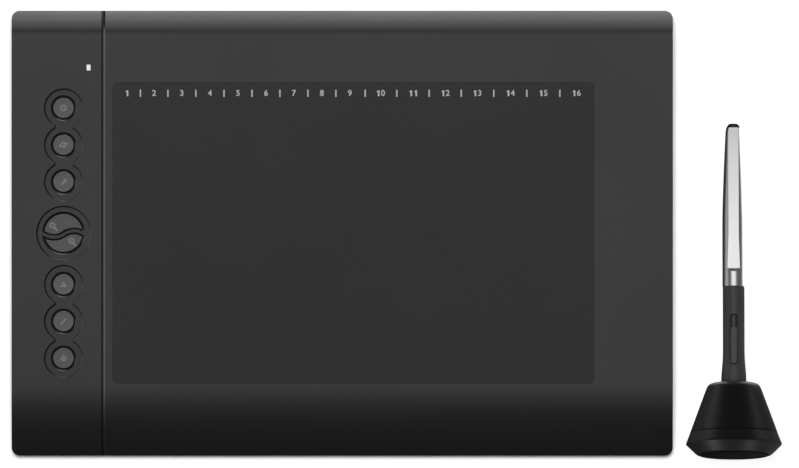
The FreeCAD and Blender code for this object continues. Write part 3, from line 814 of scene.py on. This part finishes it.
marks_by_key = {
    "key_1": [frame_mark(32, 1.7, 0, 0), bar_mark(1.9, 0.42, 0.3, -0.2, -45)],
    "key_2": [frame_mark(4, 1.7, 0, 0, 20, stretch=1.5), bar_mark(0.42, 1.7, 0.2, 0, -20)],
    "key_3": [bar_mark(3.4, 0.5, 0.2, 0.3, 50), bar_mark(3.4, 0.35, 0.75, 0.0, 50), dot_mark(0.35, -1.1, -1.5)],
    "key_4": [frame_mark(3, 1.9, 0, -0.3), bar_mark(1.7, 0.4, 0, -0.7)],
    "key_5": [bar_mark(3.2, 0.55, 0.3, 0.2, 50), dot_mark(0.5, -1.1, -1.4)],
    "key_6": [frame_mark(6, 1.6, 0, -0.2), dot_mark(0.55, 0, -0.2), bar_mark(0.42, 1.2, 0, 1.7)],
    "upper_half_key": [frame_mark(28, 1.6, -5.9, 4.1, width=0.45), bar_mark(2.4, 0.6, -4.1, 2.1, -48),
                       bar_mark(1.3, 0.35, -5.9, 4.1)],
    "lower_half_key": [frame_mark(28, 1.6, 4.2, -4.2, width=0.45), bar_mark(2.4, 0.6, 6.0, -6.2, -48),
                       bar_mark(1.3, 0.35, 4.2, -4.2), bar_mark(0.35, 1.3, 4.2, -4.2)],
}
key_marks = {}
for name, parts in marks_by_key.items():
    y = round_keys[int(name[-1]) - 1] if name[-1].isdigit() else 0
    key_marks[name] = lay_marks(f"{name}_mark", parts, key_x, y, mark_z)
for obj in list(keys.values()) + list(key_marks.values()):
    move(obj, *tablet_place)
print("marks:", list(key_marks))

# %% [markdown]
# The status lamp shines through a small clear pipe that ends flush in the cover. The visible end gets a
# softened edge, and its collar stops it under the cover.

# %% Lamp window
pipe_z, pipe_top_z = (corner.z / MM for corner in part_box("led_window"))
collar_t = 0.8
lamp_window = rounded_block("lamp_window_pipe", *about(led_x, led_w - 0.1), *about(led_y, led_d - 0.1),
                            pipe_z, pipe_top_z, 0.35, 4)
bevel(lamp_window, 0.15, 3, lambda e: above(e, pipe_top_z - 0.001))
collar = block("collar", *about(led_x, led_w + 2 * collar_t), *about(led_y, led_d + 2 * collar_t),
               top_z - skin_t - collar_t, top_z - skin_t)
combine(lamp_window, collar, 'UNION')
smooth(lamp_window, 30)
move(lamp_window, *tablet_place)

# %% [markdown]
# The stand and the pen lie on their side, on the stand's widest rim and on the pen's tail. They are
# modelled standing at the origin, the foot down and the pen's button towards the user, and then laid
# down by one turn about X and one move to the place of the stand's foot in the frame.

# %% Helper that lays the stand and pen down
foot_mount = next(m for m in frame["record"]["mounts"] if m["name"] == "stand_foot")
foot_place = Vector(foot_mount["pos_m"])
tilt = asin(foot_mount["axis"][2])
pen_seat_h = 12.3


def lay_down(obj, raised=0.0):
    move(obj, 0, 0, raised * MM)
    obj.rotation_euler = (-pi / 2 - tilt, 0, 0)
    obj.location = foot_place
    return settle(obj)


print("the axis drops", round(degrees(tilt), 3), "degrees towards the pen's tail")

# %% [markdown]
# The stand is a heavy cone with a rolled shoulder over a bowl. Cone and bowl part in a fine line. Both
# are turned, and because a turning can run back down inside, the pen's well, its ledge and the room over
# the base come from the same list of rings.

# %% Stand
cone_rings = [(9.6, 10.5), (9.6, 23.0), (17.35, 23.0), (17.35, 12.2), (23.1, 12.2), (23.33, 12.45), (14.75, 35.7),
              (14.1, 37.1), (12.9, 38.3), (11.2, 38.85), (9.6, 38.8), (8.6, 38.2), (8.1, 37.2), (8.1, 26.3),
              (5.2, 26.3), (5.2, 12.0)]
base_rings = [(18.7, 0.9), (18.7, 0.6), (19.9, 0.6), (20.6, 1.1), (24.9, 5.3), (25.45, 5.85), (25.58, 6.2), (25.5, 6.7),
              (23.5, 11.85), (23.1, 12.2), (17.2, 12.2), (17.2, 15.0), (17.0, 15.2), (15.6, 15.2), (15.6, 2.5)]
pad_rings = [(18.45, 0.85), (18.45, 0.25), (18.2, 0.0), (15.6, 0.0), (15.4, 0.25), (14.6, 0.25), (14.4, 0.0),
             (11.6, 0.0), (11.4, 0.25), (10.6, 0.25), (10.4, 0.0), (7.6, 0.0), (7.4, 0.25), (6.6, 0.25), (6.4, 0.0)]
widest_rim_z = 6.25


def on_ring(e, r, h):
    return all(abs(v.co.z / MM - h) < 0.01 and abs(v.co.xy.length / MM - r) < 0.01 for v in e.verts)


cone = turned("stand_upper_cone", cone_rings, 128)
for number, width in ((6, 0.8), (2, 0.4)):
    bevel(cone, width, 4, lambda e: on_ring(e, *cone_rings[number]))
base = turned("stand_bowl", base_rings, 128)
foot_pad = turned("stand_rubber_pad", pad_rings, 96)
for obj in (cone, base, foot_pad):
    smooth(obj, 35)
above_rim = {f.index for f in base.data.polygons if f.center.z > widest_rim_z * MM}
for obj in (cone, base, foot_pad):
    lay_down(obj)
print("stand:", [len(o.data.polygons) for o in (cone, base, foot_pad)], "faces")

# %% [markdown]
# The pen's grip is a round moulding that flares towards the nose, with a long round-ended slot for the
# two-way side button. The slot is cut with a block whose ends are fully rounded, and its mouth is
# softened. The bore and the trunnion seats inside are drilled, so nothing passes through anything.

# %% Pen grip
rocker_mid_s = 49.7
slot_l, slot_w = 27.2, 4.65
rocker_l, rocker_w = 26.2, 3.3
trunnion_r = 0.6
trunnion_v = 4.6
trunnion_l = 5.9
trunnion_gap = 0.05


def slot_block(name, length, width, v0, v1):
    """A round-ended block that stands out of the pen's front, towards -Y, at the side button."""
    return rounded_block(name, *about(0, width), -v1, -v0, *about(rocker_mid_s, length), width / 2 - 0.2, 10, 1)


def cross_pin(gap=0.0):
    """The side button's trunnions as one pin, let out by a gap to drill their seats."""
    pick_only(None)
    bpy.ops.mesh.primitive_cylinder_add(vertices=24, radius=(trunnion_r + gap) * MM, depth=(trunnion_l + 2 * gap) * MM,
                                        location=mm(0, -trunnion_v, rocker_mid_s), rotation=(0, pi / 2, 0))
    return made("cross_pin")


def on_slot_rim(e):
    return fold(e) < 0.75 and all(v.co.xy.length > 5.5 * MM and v.co.y < -4 * MM and 34 < v.co.z / MM < 65
                                  for v in e.verts)


grip_rings = [(1.25, 1.6), (1.5, 1.95), (4.9, 14.0), (5.75, 18.5), (6.4, 23.5), (6.7, 28.0), (6.62, 31.0), (6.3, 34.8),
              (5.98, 38.5), (5.82, 42.0), (5.8, 46.0), (5.8, 78.0), (5.65, 78.28), (4.3, 78.3), (4.3, 85.8),
              (3.7, 85.8), (3.7, 14.0)]
grip = turned("pen_front_grip", grip_rings, 96)
combine(grip, turned("nib_bore", [(0.86, 0.5), (0.86, 15.0)], 24))
combine(grip, slot_block("slot", slot_l, slot_w, 1.0, 12.0))
combine(grip, cross_pin(trunnion_gap))
print("slot rim softened:", bevel(grip, 0.18, 2, on_slot_rim))
smooth(grip, 30)
lay_down(grip, pen_seat_h)

# %% [markdown]
# The side button is one rocker. Most of it is a raised, crowned bar that a finger finds. Its end towards
# the tail drops to a lower step whose sides are planed off to a narrow ridge. It turns on a trunnion in
# the grip.

# %% Side button
rocker_v = 3.9
crown_v = 6.5
dip_l = 3.2
dip_v = 6.42
step_s = 56.2
step_v = 5.55
ridge_half_w = 0.5
plane_off = 0.75
half_diagonal = 3 * sqrt(0.5)
rocker = slot_block("pen_side_button", rocker_l, rocker_w, rocker_v, crown_v)
combine(rocker, block("step", -4, 4, -8, -step_v, step_s, 70))
for side in (-1, 1):
    plane_cut = block("plane_cut", -3, 3, -3, 3, step_s, 70)
    plane_cut.rotation_euler = (0, 0, radians(45 * side))
    plane_cut.location = mm(side * (ridge_half_w + plane_off + half_diagonal), plane_off - step_v - half_diagonal, 0)
    combine(rocker, settle(plane_cut))
combine(rocker, block("dip", -4, 4, -8, -dip_v, *about(rocker_mid_s, dip_l)))


def on_rocker_crown(e):
    return fold(e) < 0.7 and all(v.co.y < -5.4 * MM for v in e.verts)


print("button edges rounded:", bevel(rocker, 0.45, 3, on_rocker_crown))
combine(rocker, cross_pin(), 'UNION')
smooth(rocker, 35)
lay_down(rocker, pen_seat_h)

# %% [markdown]
# The silver rear barrel is a slim taper with a long flat milled along its front. The flat keeps nearly one
# width all along, so its depth follows from the taper, and towards the grip it curves up and runs out, as
# a roller cutter with rounded ends leaves it. The cutter is one block, drawn out step by step along the
# pen, each step with the flat's own distance from the axis, and widening fast at its start. It trims the
# black tail cap too, so the flat runs on.

# %% Pen barrel and tail cap
barrel_r = 5.95
taper_s = 112.0
taper_end_s = 161.5
taper_drop = 1.8
taper_steps = 12
flat_half_w = 2.75
flat_steps = 24
run_out_half_w = 3.3
run_out_s = 86.2
run_out_steps = 10
narrowing_l = 18.0
roller_r = 2.6
end_round = 2.3
tip_half_w = 1.2
shoulder_half_w = 3.7
cutter_back = 12.0


def barrel_radius(at_s):
    share = min(max(at_s - taper_s, 0) / (taper_end_s - taper_s), 1)
    return barrel_r - taper_drop * share**1.4


def flat_from_axis(at_s, start_s):
    """How far the flat lies from the axis, from its half width and the barrel's radius there."""
    wide = run_out_half_w - (run_out_half_w - flat_half_w) * min((at_s - start_s) / narrowing_l, 1)
    return sqrt(barrel_radius(at_s)**2 - wide**2)


def cutter_stations():
    """(place along the pen, distance from the axis, half width) of every step of the cutter."""
    start_v = sqrt(barrel_r**2 - run_out_half_w**2)
    start_s = run_out_s + sqrt(roller_r**2 - (roller_r - barrel_r + start_v)**2)
    full_turn = acos(1 - (barrel_r + 0.1 - start_v) / roller_r)
    stations = []
    for i in range(run_out_steps):
        turn = full_turn * (1 - i / run_out_steps)
        at_s = start_s - roller_r * sin(turn)
        in_s = end_round - min(at_s - start_s + roller_r * sin(full_turn) + 0.05, end_round)
        half_w = tip_half_w + sqrt(end_round**2 - in_s**2)
        stations.append((at_s, start_v + roller_r * (1 - cos(turn)), half_w))
    for i in range(flat_steps + 1):
        at_s = start_s + (taper_end_s - start_s) * i / flat_steps
        stations.append((at_s, flat_from_axis(at_s, start_s), cutter_back if i else shoulder_half_w))
    (s0, v0, _), (s1, v1, _) = stations[-2:]
    past = taper_end_s + 10
    return stations + [(past, v1 + (v1 - v0) / (s1 - s0) * (past - s1), cutter_back)]


def flat_cutter():
    stations = cutter_stations()
    s0, v0, w0 = stations[0]
    tool = block("flat_cutter", -w0, w0, -cutter_back, -v0, s0 - 0.05, s0)
    pick(tool, 'FACE', lambda f: f.normal.z > 0.9)
    for (s0, v0, w0), (s1, v1, w1) in zip(stations, stations[1:]):
        draw_out(0, 0, s1 - s0)
        widen(w1 / w0, (cutter_back - v1) / (cutter_back - v0), (0, -cutter_back, s1))
    done(tool)
    tidy_normals(tool)
    print("flat cutter:", len(stations), "stations, open edges", open_edges(tool))
    return tool


def on_facet_edge(e):
    if is_open(e) or fold(e) > 0.985 or any(v.co.y > -3.0 * MM or v.co.z < 86 * MM for v in e.verts):
        return False
    return sum(f.normal.y < -0.9 and abs(f.normal.x) < 0.002 for f in e.link_faces) == 1


taper = [taper_s + (taper_end_s - taper_s) * i / taper_steps for i in range(taper_steps + 1)]
barrel_rings = [(4.34, 78.3), (5.8, 78.3), (5.95, 78.5)] + [(barrel_radius(at_s), at_s) for at_s in taper] + \
    [(3.95, 163.0), (3.75, 163.9), (2.6, 163.9), (2.6, 86.0), (4.35, 85.9)]
barrel = turned("pen_silver_barrel", barrel_rings, 128)
combine(barrel, flat_cutter())
print("flat's edges rounded:", bevel(barrel, 0.22, 2, on_facet_edge))
smooth(barrel, 25)
tail = turned("pen_black_tail", [(3.7, 163.95), (3.35, 164.7), (2.6, 165.7), (2.3, 166.0)], 96)
combine(tail, flat_cutter())
smooth(tail, 25)
nib = turned("pen_point", [(0.12, 0.0), (0.34, 0.1), (0.55, 0.3), (0.72, 0.65), (0.8, 1.1), (0.8, 28.6)], 48)
smooth(nib, 50)
for obj in (barrel, tail, nib):
    lay_down(obj, pen_seat_h)
print("pen:", [(o.name, len(o.data.polygons)) for o in (grip, rocker, barrel, tail, nib)])

# %% [markdown]
# Every piece now gets its body, and the CAD nodes it stands for are hidden. The keys, the nib and the
# side button ride on bodies of their own, so they move in the poses.

# %% Bodies and replaced nodes
def belongs(obj, body, slot, *nodes):
    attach(obj, body)
    if nodes:
        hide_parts(*nodes)


belongs(cover, "tablet", "casing", "top_cover")
belongs(film, "tablet", "film", "drawing_film")
belongs(number_row, "tablet", None)
belongs(lamp_window, "tablet", "clear_window", "led_window")
for name in keys:
    belongs(keys[name], name, "key_cap", name)
    belongs(key_marks[name], name, None)
belongs(cone, "stand", "stand_black", "stand_cone")
belongs(base, "stand_bottom", "stand_inner", "stand_base")
belongs(foot_pad, "stand_bottom", "rubber", "stand_foot_pad")
belongs(grip, "pen", "pen_black", "pen_grip")
belongs(barrel, "pen", "pen_silver", "pen_rear_barrel")
belongs(tail, "pen", "pen_black", "pen_tail_cap")
belongs(nib, "pen_nib", "nib_plastic", "pen_nib")
belongs(rocker, "pen_rocker", "pen_black", "pen_rocker")

# %% [markdown]
# Two helpers build every node tree. The first links a node's sockets to other nodes' sockets or sets them
# to plain values, and the second adds a node that is fed in this way and gives one of its outputs.
# Moulded plastic is never one flat colour. Its fine texture breaks up the light, and handling leaves
# faint, broad patches that are a little lighter and smoother. Both are made once, in a node group with
# named inputs, and every plastic in the set uses it with its own colour, grain and depth.

# %% Node group: moulded skin
def feed(tree, node, sockets):
    for name, value in sockets.items():
        if isinstance(value, bpy.types.NodeSocket):
            tree.links.new(value, node.inputs[name])
        else:
            node.inputs[name].default_value = value


def add(tree, kind, output, sockets=None, **settings):
    node = tree.nodes.new(f"ShaderNode{kind}")
    for name, value in settings.items():
        setattr(node, name, value)
    feed(tree, node, sockets or {})
    return node.outputs[output]


def make_moulded_skin():
    group = bpy.data.node_groups.new("moulded skin", 'ShaderNodeTree')
    inputs = ("Colour", "Roughness", "Grain", "Depth", "Handling")
    for way, names in (('INPUT', inputs), ('OUTPUT', ("Colour", "Roughness", "Height"))):
        for label in names:
            kind = 'NodeSocketColor' if label == "Colour" else 'NodeSocketFloat'
            group.interface.new_socket(name=label, in_out=way, socket_type=kind)
    given = group.nodes.new('NodeGroupInput').outputs
    place = add(group, 'TexCoord', 'Object')
    fine = add(group, 'TexNoise', 'Fac', {'Vector': place, 'Scale': given['Grain'], 'Detail': 3})
    broad = add(group, 'TexNoise', 'Fac', {'Vector': place, 'Scale': 14, 'Detail': 4})
    patch = add(group, 'MapRange', 'Result', {'Value': broad, 'From Min': 0.4, 'From Max': 0.7})
    amount = add(group, 'Math', 0, {0: patch, 1: given['Handling']}, operation='MULTIPLY')
    lighter = add(group, 'HueSaturation', 'Color', {'Color': given['Colour'], 'Value': 1.6})
    worn = add(group, 'Mix', 'Result', {'Factor': amount, 'A': given['Colour'], 'B': lighter}, data_type='RGBA')
    speck = add(group, 'MapRange', 'Result', {'Value': fine, 'To Min': 0.88, 'To Max': 1.12})
    grained = add(group, 'Mix', 'Result', {'Factor': 1.0, 'A': worn, 'B': speck}, data_type='RGBA',
                  blend_type='MULTIPLY')
    polish = add(group, 'Math', 0, {0: amount, 1: -0.5, 2: given['Roughness']}, operation='MULTIPLY_ADD')
    height = add(group, 'Math', 0, {0: fine, 1: given['Depth']}, operation='MULTIPLY')
    feed(group, group.nodes.new('NodeGroupOutput'), {'Colour': grained, 'Roughness': polish, 'Height': height})
    return group


moulded_skin = make_moulded_skin()
print("group:", moulded_skin.name)

# %% [markdown]
# A plastic is this group in front of a Principled shader. What is the same all over the surface, such as
# its specular level, is set on the shader's own socket. Colours are written as the screen shows them and
# turned into Blender's linear values.

# %% Plastics
def linear(value):
    """A grey or (r, g, b) as the screen shows it, 0 to 255, in linear light."""
    shades = value if isinstance(value, tuple) else (value, value, value)
    return tuple((s / 255 / 12.92) if s <= 10 else ((s / 255 + 0.055) / 1.055)**2.4 for s in shades) + (1.0,)


def bare_material(name):
    material = bpy.data.materials.new(name)
    material.use_nodes = True
    return material, material.node_tree, material.node_tree.nodes['Principled BSDF']


def bump(tree, height, distance):
    """A bump for a shader's normal. Distance in millimetres."""
    return add(tree, 'Bump', 'Normal', {'Height': height, 'Distance': distance * MM, 'Strength': 1.0})


def plastic(name, shade, roughness, grain, depth, handling, specular=0.5, relief=0.012):
    material, tree, shader = bare_material(name)
    skin = tree.nodes.new('ShaderNodeGroup')
    skin.node_tree = moulded_skin
    feed(tree, skin, {'Colour': linear(shade), 'Roughness': roughness, 'Grain': grain, 'Depth': depth,
                      'Handling': handling})
    feed(tree, shader, {'Base Color': skin.outputs['Colour'], 'Roughness': skin.outputs['Roughness'],
                        'Specular IOR Level': specular, 'Normal': bump(tree, skin.outputs['Height'], relief)})
    return material


casing = plastic("casing matt plastic", 20, 0.3, 2600, 0.5, 0.08)
under_casing = plastic("under casing plastic", 28, 0.5, 1800, 0.8, 0.1)
film_matt = plastic("drawing film", 39, 0.45, 4200, 0.4, 0.06, 0.3)
# The cover's ends and near edge take a darker plastic: painted shade for the dark line these rounded faces show.
rim_painted_shade_plastic = plastic("casing rim painted shade plastic", 8, 0.6, 2600, 0.5, 0.08, 0.15)
key_plastic = plastic("key plastic", 82, 0.38, 4000, 0.3, 0.2)
half_plastic = plastic("half key plastic", 70, 0.38, 4000, 0.3, 0.2)
# The keys' plates are dark: painted shade for the deep gap round each cap, though the real key is one grey moulding.
key_plate_painted_shade = plastic("key plate plastic", 14, 0.6, 4000, 0.3, 0.1, 0.3)
key_print = plastic("key mark print", 142, 0.5, 5000, 0.2, 0.1)
number_print = plastic("number print", 190, 0.6, 5000, 0.2, 0.1, 0.2)
grip_plastic = plastic("pen grip plastic", 76, 0.5, 4500, 0.4, 0.15)
stand_plastic = plastic("stand cone plastic", 12, 0.42, 3500, 0.3, 0.12)
# The bowl is the cone's plastic made lighter: painted light for the brighter band it shows below its widest rim.
bowl_painted_light_plastic = plastic("stand bowl painted light plastic", 42, 0.42, 3500, 0.3, 0.12)
tail_plastic = plastic("pen tail plastic", 16, 0.35, 4000, 0.3, 0.1)
rubber = plastic("foot rubber", 22, 0.75, 1500, 1.0, 0.2, 0.3, 0.03)
nib_plastic = plastic("nib plastic", 46, 0.45, 5000, 0.2, 0.3)
window_plastic = plastic("lamp window", 225, 0.3, 2500, 0.2, 0.15)
feed(window_plastic.node_tree, window_plastic.node_tree.nodes['Principled BSDF'],
     {'Emission Color': (1, 1, 1, 1), 'Emission Strength': 0.25})

# %% [markdown]
# Three kinds of piece take two plastics: the cover's rounded ends and near edge take a darker plastic as
# painted shade, the keys' plates are dark as painted shade for the gap round their caps, and the bowl is as
# black as the cone above its widest rim and lighter below it as painted light.

# %% Plastics on the pieces
def finish(obj, *materials):
    obj.data.materials.clear()
    for material in materials:
        obj.data.materials.append(material)


def second_plastic(obj, test):
    """Gives the second material to the faces that pass the test, and gives their number."""
    for face in obj.data.polygons:
        face.material_index = int(test(face))
    return sum(face.material_index for face in obj.data.polygons)


# The faces of the cover's rounded ends and near edge, which take the darker plastic as painted shade.
def on_dark_rim(face):
    x, y, z = (face.center - tablet_place) / MM
    at_end = abs(x) > tablet_w / 2 - rim_round or y < 0.5 - tablet_d / 2
    return at_end and z > split_z and -0.01 < face.normal.z < 0.9


for obj, *materials in ((cover, casing, rim_painted_shade_plastic), (film, film_matt), (number_row, number_print),
                        (lamp_window, window_plastic), (cone, stand_plastic), (base, bowl_painted_light_plastic, stand_plastic),
                        (foot_pad, rubber), (grip, grip_plastic), (rocker, grip_plastic), (tail, tail_plastic),
                        (nib, nib_plastic)):
    finish(obj, *materials)
for name in keys:
    # Below the cover each key takes the dark plate plastic, painted shade for the gap round its cap.
    finish(keys[name], half_plastic if "half" in name else key_plastic, key_plate_painted_shade)
    second_plastic(keys[name], lambda face: face.center.z < (plate_top_z + 0.05) * MM)
    finish(key_marks[name], key_print)
# Above its widest rim the bowl takes the cone's black plastic; below it, the lighter plastic is painted light.
second_plastic(base, lambda face: face.index in above_rim)
print("painted shade rim faces:", second_plastic(cover, on_dark_rim))

# %% [markdown]
# The barrel is satin silver: metal paint over a turned tube. Its grain runs along the pen, so the noise
# is stretched along the pen's axis, and it only moves the roughness and the tone by a few percent.

# %% Metals
def two_tone(tree, factor, dark, light):
    return add(tree, 'Mix', 'Result', {'Factor': factor, 'A': linear(dark), 'B': linear(light)}, data_type='RGBA')


def metal(name, shade, roughness, grain, along=(1, 1, 1), spread=0.1, tones=10, relief=0.004):
    material, tree, shader = bare_material(name)
    place = add(tree, 'Mapping', 'Vector', {'Vector': add(tree, 'TexCoord', 'Object'), 'Scale': along})
    noise = add(tree, 'TexNoise', 'Fac', {'Vector': place, 'Scale': grain, 'Detail': 4})
    rough = add(tree, 'MapRange', 'Result', {'Value': noise, 'To Min': roughness - spread,
                                             'To Max': roughness + spread})
    feed(tree, shader, {'Base Color': two_tone(tree, noise, shade - tones, shade + tones), 'Roughness': rough,
                        'Metallic': 1.0, 'Normal': bump(tree, noise, relief)})
    return material


silver = metal("satin silver barrel", 222, 0.3, 2500, (1, 0.04, 1), 0.04, 5, 0.0008)
steel = metal("steel", 176, 0.35, 1200)
black_steel = metal("blackened steel", 84, 0.4, 1500)
rolled_sheet = metal("rolled sheet", 190, 0.38, 1200, (0.03, 1, 1), 0.12)
finish(barrel, silver)

# %% [markdown]
# The pieces inside keep their CAD meshes. They still get real finishes: solder mask with its fine copper
# tracks on the boards, wound wire on the coil, a ferrite's dull speckle and a lined flat cable.

# %% Finishes of the pieces inside
def striped(name, shade_a, shade_b, scale, direction, roughness, metallic=0.0, distortion=0.0, sharp=0.5):
    material, tree, shader = bare_material(name)
    wave = add(tree, 'TexWave', 'Fac', {'Vector': add(tree, 'TexCoord', 'Object'), 'Scale': scale,
                                        'Distortion': distortion, 'Detail': 3}, bands_direction=direction)
    step = add(tree, 'MapRange', 'Result', {'Value': wave, 'From Min': sharp, 'From Max': sharp + 0.25})
    feed(tree, shader, {'Base Color': two_tone(tree, step, shade_a, shade_b), 'Roughness': roughness,
                        'Metallic': metallic, 'Normal': bump(tree, wave, 0.02)})
    return material


solder_mask = striped("green board with tracks", (22, 74, 50), (46, 116, 78), 220, 'DIAGONAL', 0.35, 0.0, 6.0, 0.72)
copper = striped("wound copper wire", (120, 62, 34), (214, 138, 92), 1400, 'Y', 0.3, 0.9)
cable_film = striped("flat cable", (214, 212, 200), (172, 170, 160), 900, 'X', 0.45)
ferrite = plastic("ferrite", 52, 0.6, 2500, 0.8, 0.2)
sensor_case = plastic("sensor case", 70, 0.5, 3000, 0.4, 0.1)
switch_black = plastic("switch plunger", 60, 0.35, 4000, 0.3, 0.1)
nodes_by_finish = (
    (under_casing, "bottom_cover"), (black_steel, "case_screws"), (rolled_sheet, "shield_plate"),
    (solder_mask, "sensor_board", "key_board", "control_board", "pen_board"),
    (steel, "key_switches", "usb_socket", "pen_switches", "stand_weight"), (window_plastic, "status_led"),
    (cable_film, "key_cable", "sensor_cable"), (ferrite, "pen_ferrite_core"), (copper, "pen_coil"),
    (sensor_case, "pen_pressure_sensor"), (bowl_painted_light_plastic, "nib_tray"), (nib_plastic, "spare_nibs"),
    (rubber, "foot_far_left", "foot_near_left", "foot_far_right", "foot_near_right"),
    (switch_black, "usb_tongue", *(f"{name.replace('_half_key', '_half')}_plunger" for name in keys)),
)
for material, *names in nodes_by_finish:
    for name in names:
        finish(frame["nodes"][name], material)
finished = {name for _, *names in nodes_by_finish for name in names}
shown = {name for name, obj in frame["nodes"].items() if not obj.hide_render}
print("CAD nodes without a finish:", sorted(shown - finished))

# %% [markdown]
# The camera looks straight down from far away with a very long lens, because the photograph shows next
# to no perspective. The floor is a plain white ground that takes the set's shadows. In the object's
# finishes it mirrors dark, because the photograph's rims and left edges are dark lines, and pale grey
# right of the pen. The world is pale to the camera and dim to everything else, so the lamps shape the
# object.

# %% Camera, floor and world
view_middle = (1.64, 0.64)
view_z = 9.0
pixel_w = 0.534
photo_pixels = 799
camera_lens = 800
sensor_w = 36
ramp_half_w = 0.012
floor_z = -0.00002
pick_only(None)
camera_z = view_z + pixel_w * photo_pixels * camera_lens / sensor_w
bpy.ops.object.camera_add(location=mm(*view_middle, camera_z), rotation=(0, 0, 0))
camera = bpy.context.object
camera.data.lens = camera_lens
camera.data.sensor_width = sensor_w
camera.data.clip_end = 100
bpy.context.scene.camera = camera

bpy.ops.mesh.primitive_plane_add(size=30, location=(0, 0, floor_z))
floor = bpy.context.object
floor.name = "studio_floor"


def show_to(tree, ray, other, usual, output):
    """Shows the other shader to one kind of ray, and the usual one to all the rest."""
    mixed = add(tree, 'MixShader', 'Shader', {0: add(tree, 'LightPath', ray), 1: usual, 2: other})
    feed(tree, tree.nodes[output], {'Surface': mixed})


ground, tree, shader = bare_material("white ground")
feed(tree, shader, {'Base Color': (0.8, 0.8, 0.8, 1), 'Roughness': 1.0, 'Specular IOR Level': 0.0})
across = add(tree, 'SeparateXYZ', 'X', {'Vector': add(tree, 'TexCoord', 'Object')})
ramp = add(tree, 'MapRange', 'Result', {'Value': across, 'From Min': foot_place.x - ramp_half_w,
                                        'From Max': foot_place.x + ramp_half_w, 'To Min': 0.02, 'To Max': 0.14})
mirrored = add(tree, 'Emission', 'Emission', {'Strength': ramp})
show_to(tree, 'Is Glossy Ray', mirrored, shader.outputs['BSDF'], 'Material Output')
finish(floor, ground)
floor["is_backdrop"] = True

world = bpy.data.worlds.new("studio")
bpy.context.scene.world = world
world.use_nodes = True
tree = world.node_tree
dim = tree.nodes['Background']
feed(tree, dim, {'Color': (1, 1, 1, 1), 'Strength': 0.11})
pale = add(tree, 'Background', 'Background', {'Strength': 1.0})
show_to(tree, 'Is Camera Ray', pale, dim.outputs['Background'], 'World Output')

# %% [markdown]
# The photograph joins two shots: the tablet under a large ceiling box with a bright low one behind it,
# and the stand between two side boxes. Light linking does the same in one scene. Each lamp lights only
# the pieces of its own shot, and each shot has a sun that gives the floor its short soft shadow.

# %% Lamps
def collected(name, objects):
    group = bpy.data.collections.new(name)
    for obj in objects:
        group.objects.link(obj)
    return group


def lamp(name, kind, place, aim, lit, shaded_by):
    """A lamp that shines along aim and lights only some pieces."""
    pick_only(None)
    bpy.ops.object.light_add(type=kind, location=place)
    obj = bpy.context.object
    obj.name = name
    obj.rotation_euler = aim.to_track_quat('-Z', 'Y').to_euler()
    obj.light_linking.receiver_collection = collected(f"{name} lights", lit)
    if shaded_by:
        obj.light_linking.blocker_collection = collected(f"{name} shadows", shaded_by)
    return obj


def soft_box(name, place, target, width, height, radiance, lit, shaded_by=None):
    """A rectangular lamp that faces the target. Its radiance is its energy over four times its area."""
    box = lamp(name, 'AREA', place, Vector(target) - Vector(place), lit, shaded_by)
    box.data.shape = 'RECTANGLE'
    box.data.size = width
    box.data.size_y = height
    box.data.energy = 4 * width * height * radiance
    box.visible_camera = False


def floor_sun(name, energy, angle, direction, shaded_by):
    """A soft sun that lights only the floor, where only these pieces throw a shadow."""
    sun = lamp(name, 'SUN', (0, 1, 2), Vector(direction), [floor], shaded_by)
    sun.data.energy = energy
    sun.data.angle = radians(angle)


def riding(*bodies):
    """The shown pieces that ride on these bodies."""
    return [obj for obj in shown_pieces() if set(body_of(obj) or []) & set(bodies)]


tablet_set = riding("tablet", *keys)
pen_set = riding("pen", "pen_nib", "pen_rocker")
stand_set = riding("stand", "stand_bottom")
soft_box("ceiling box", (0, 0.32, 3.0), (0, 0.32, 0), 9.0, 1.42, 0.92, tablet_set)
soft_box("far low box", (0, 1.1, 0.22), (0, 0.1, 0.01), 0.6, 0.32, 4.2, tablet_set)
soft_box("far middle box", (0, 0.98, 0.52), (0, 0.1, 0.01), 0.75, 0.32, 2.5, tablet_set)
soft_box("far upper box", (0, 0.78, 0.8), (0, 0.1, 0.01), 0.9, 0.46, 1.4, tablet_set)
soft_box("left tablet box", (-2.6, 0.4, 1.5), (-0.1, 0, 0), 1.6, 1.4, 2.2, tablet_set)
soft_box("pen box", (0.18, -0.05, 0.9), (0.18, -0.05, 0), 0.75, 1.04, 0.9, pen_set)
soft_box("left pen box", (-0.8, 0.1, 0.08), (0.18, 0.03, 0.02), 0.5, 0.95, 0.34, pen_set, pen_set)
strip_x = foot_place.x + 0.037
soft_box("right barrel strip", (strip_x, 0.015, 0.0005), (strip_x, 0.015, 1), 0.062, 0.1, 1.1, [barrel])
soft_box("left stand box", (-0.63, 0.41, -0.24), (0.18, -0.1, 0.02), 0.9, 0.8, 1.25, stand_set, stand_set)
soft_box("right stand box", (0.99, 0.41, -0.24), (0.18, -0.1, 0.02), 0.9, 0.8, 0.85, stand_set, stand_set)
soft_box("far stand box", (0.18, 1.2, 0.14), (0.18, -0.1, 0.03), 0.5, 0.2, 0.8, stand_set)
soft_box("near left bowl box", (-0.33, -0.97, 0.12), (0.17, -0.11, 0.03), 0.16, 0.3, 5.0, [base])
soft_box("near right bowl box", (0.55, -1.03, 0.15), (0.18, -0.11, 0.03), 0.16, 0.3, 2.0, [base])
for side, radiance in ((-1, 2.2), (1, 1.8)):
    x = foot_place.x + side * 0.03
    soft_box("rim strip", (x, -0.035, 0.0005), (x, -0.035, 1), 0.034, 0.05, radiance, [cone])
floor_sun("tablet's floor sun", 3.4, 36, (0.03, -0.33, -1), tablet_set)
floor_sun("stand's floor sun", 0.95, 30, (0.12, -0.22, -1), stand_set + pen_set + tablet_set)
print("lit:", len(tablet_set), "tablet pieces,", len(pen_set), "pen pieces,", len(stand_set), "stand pieces")

# %% View transform
bpy.context.scene.view_settings.view_transform = 'Standard'
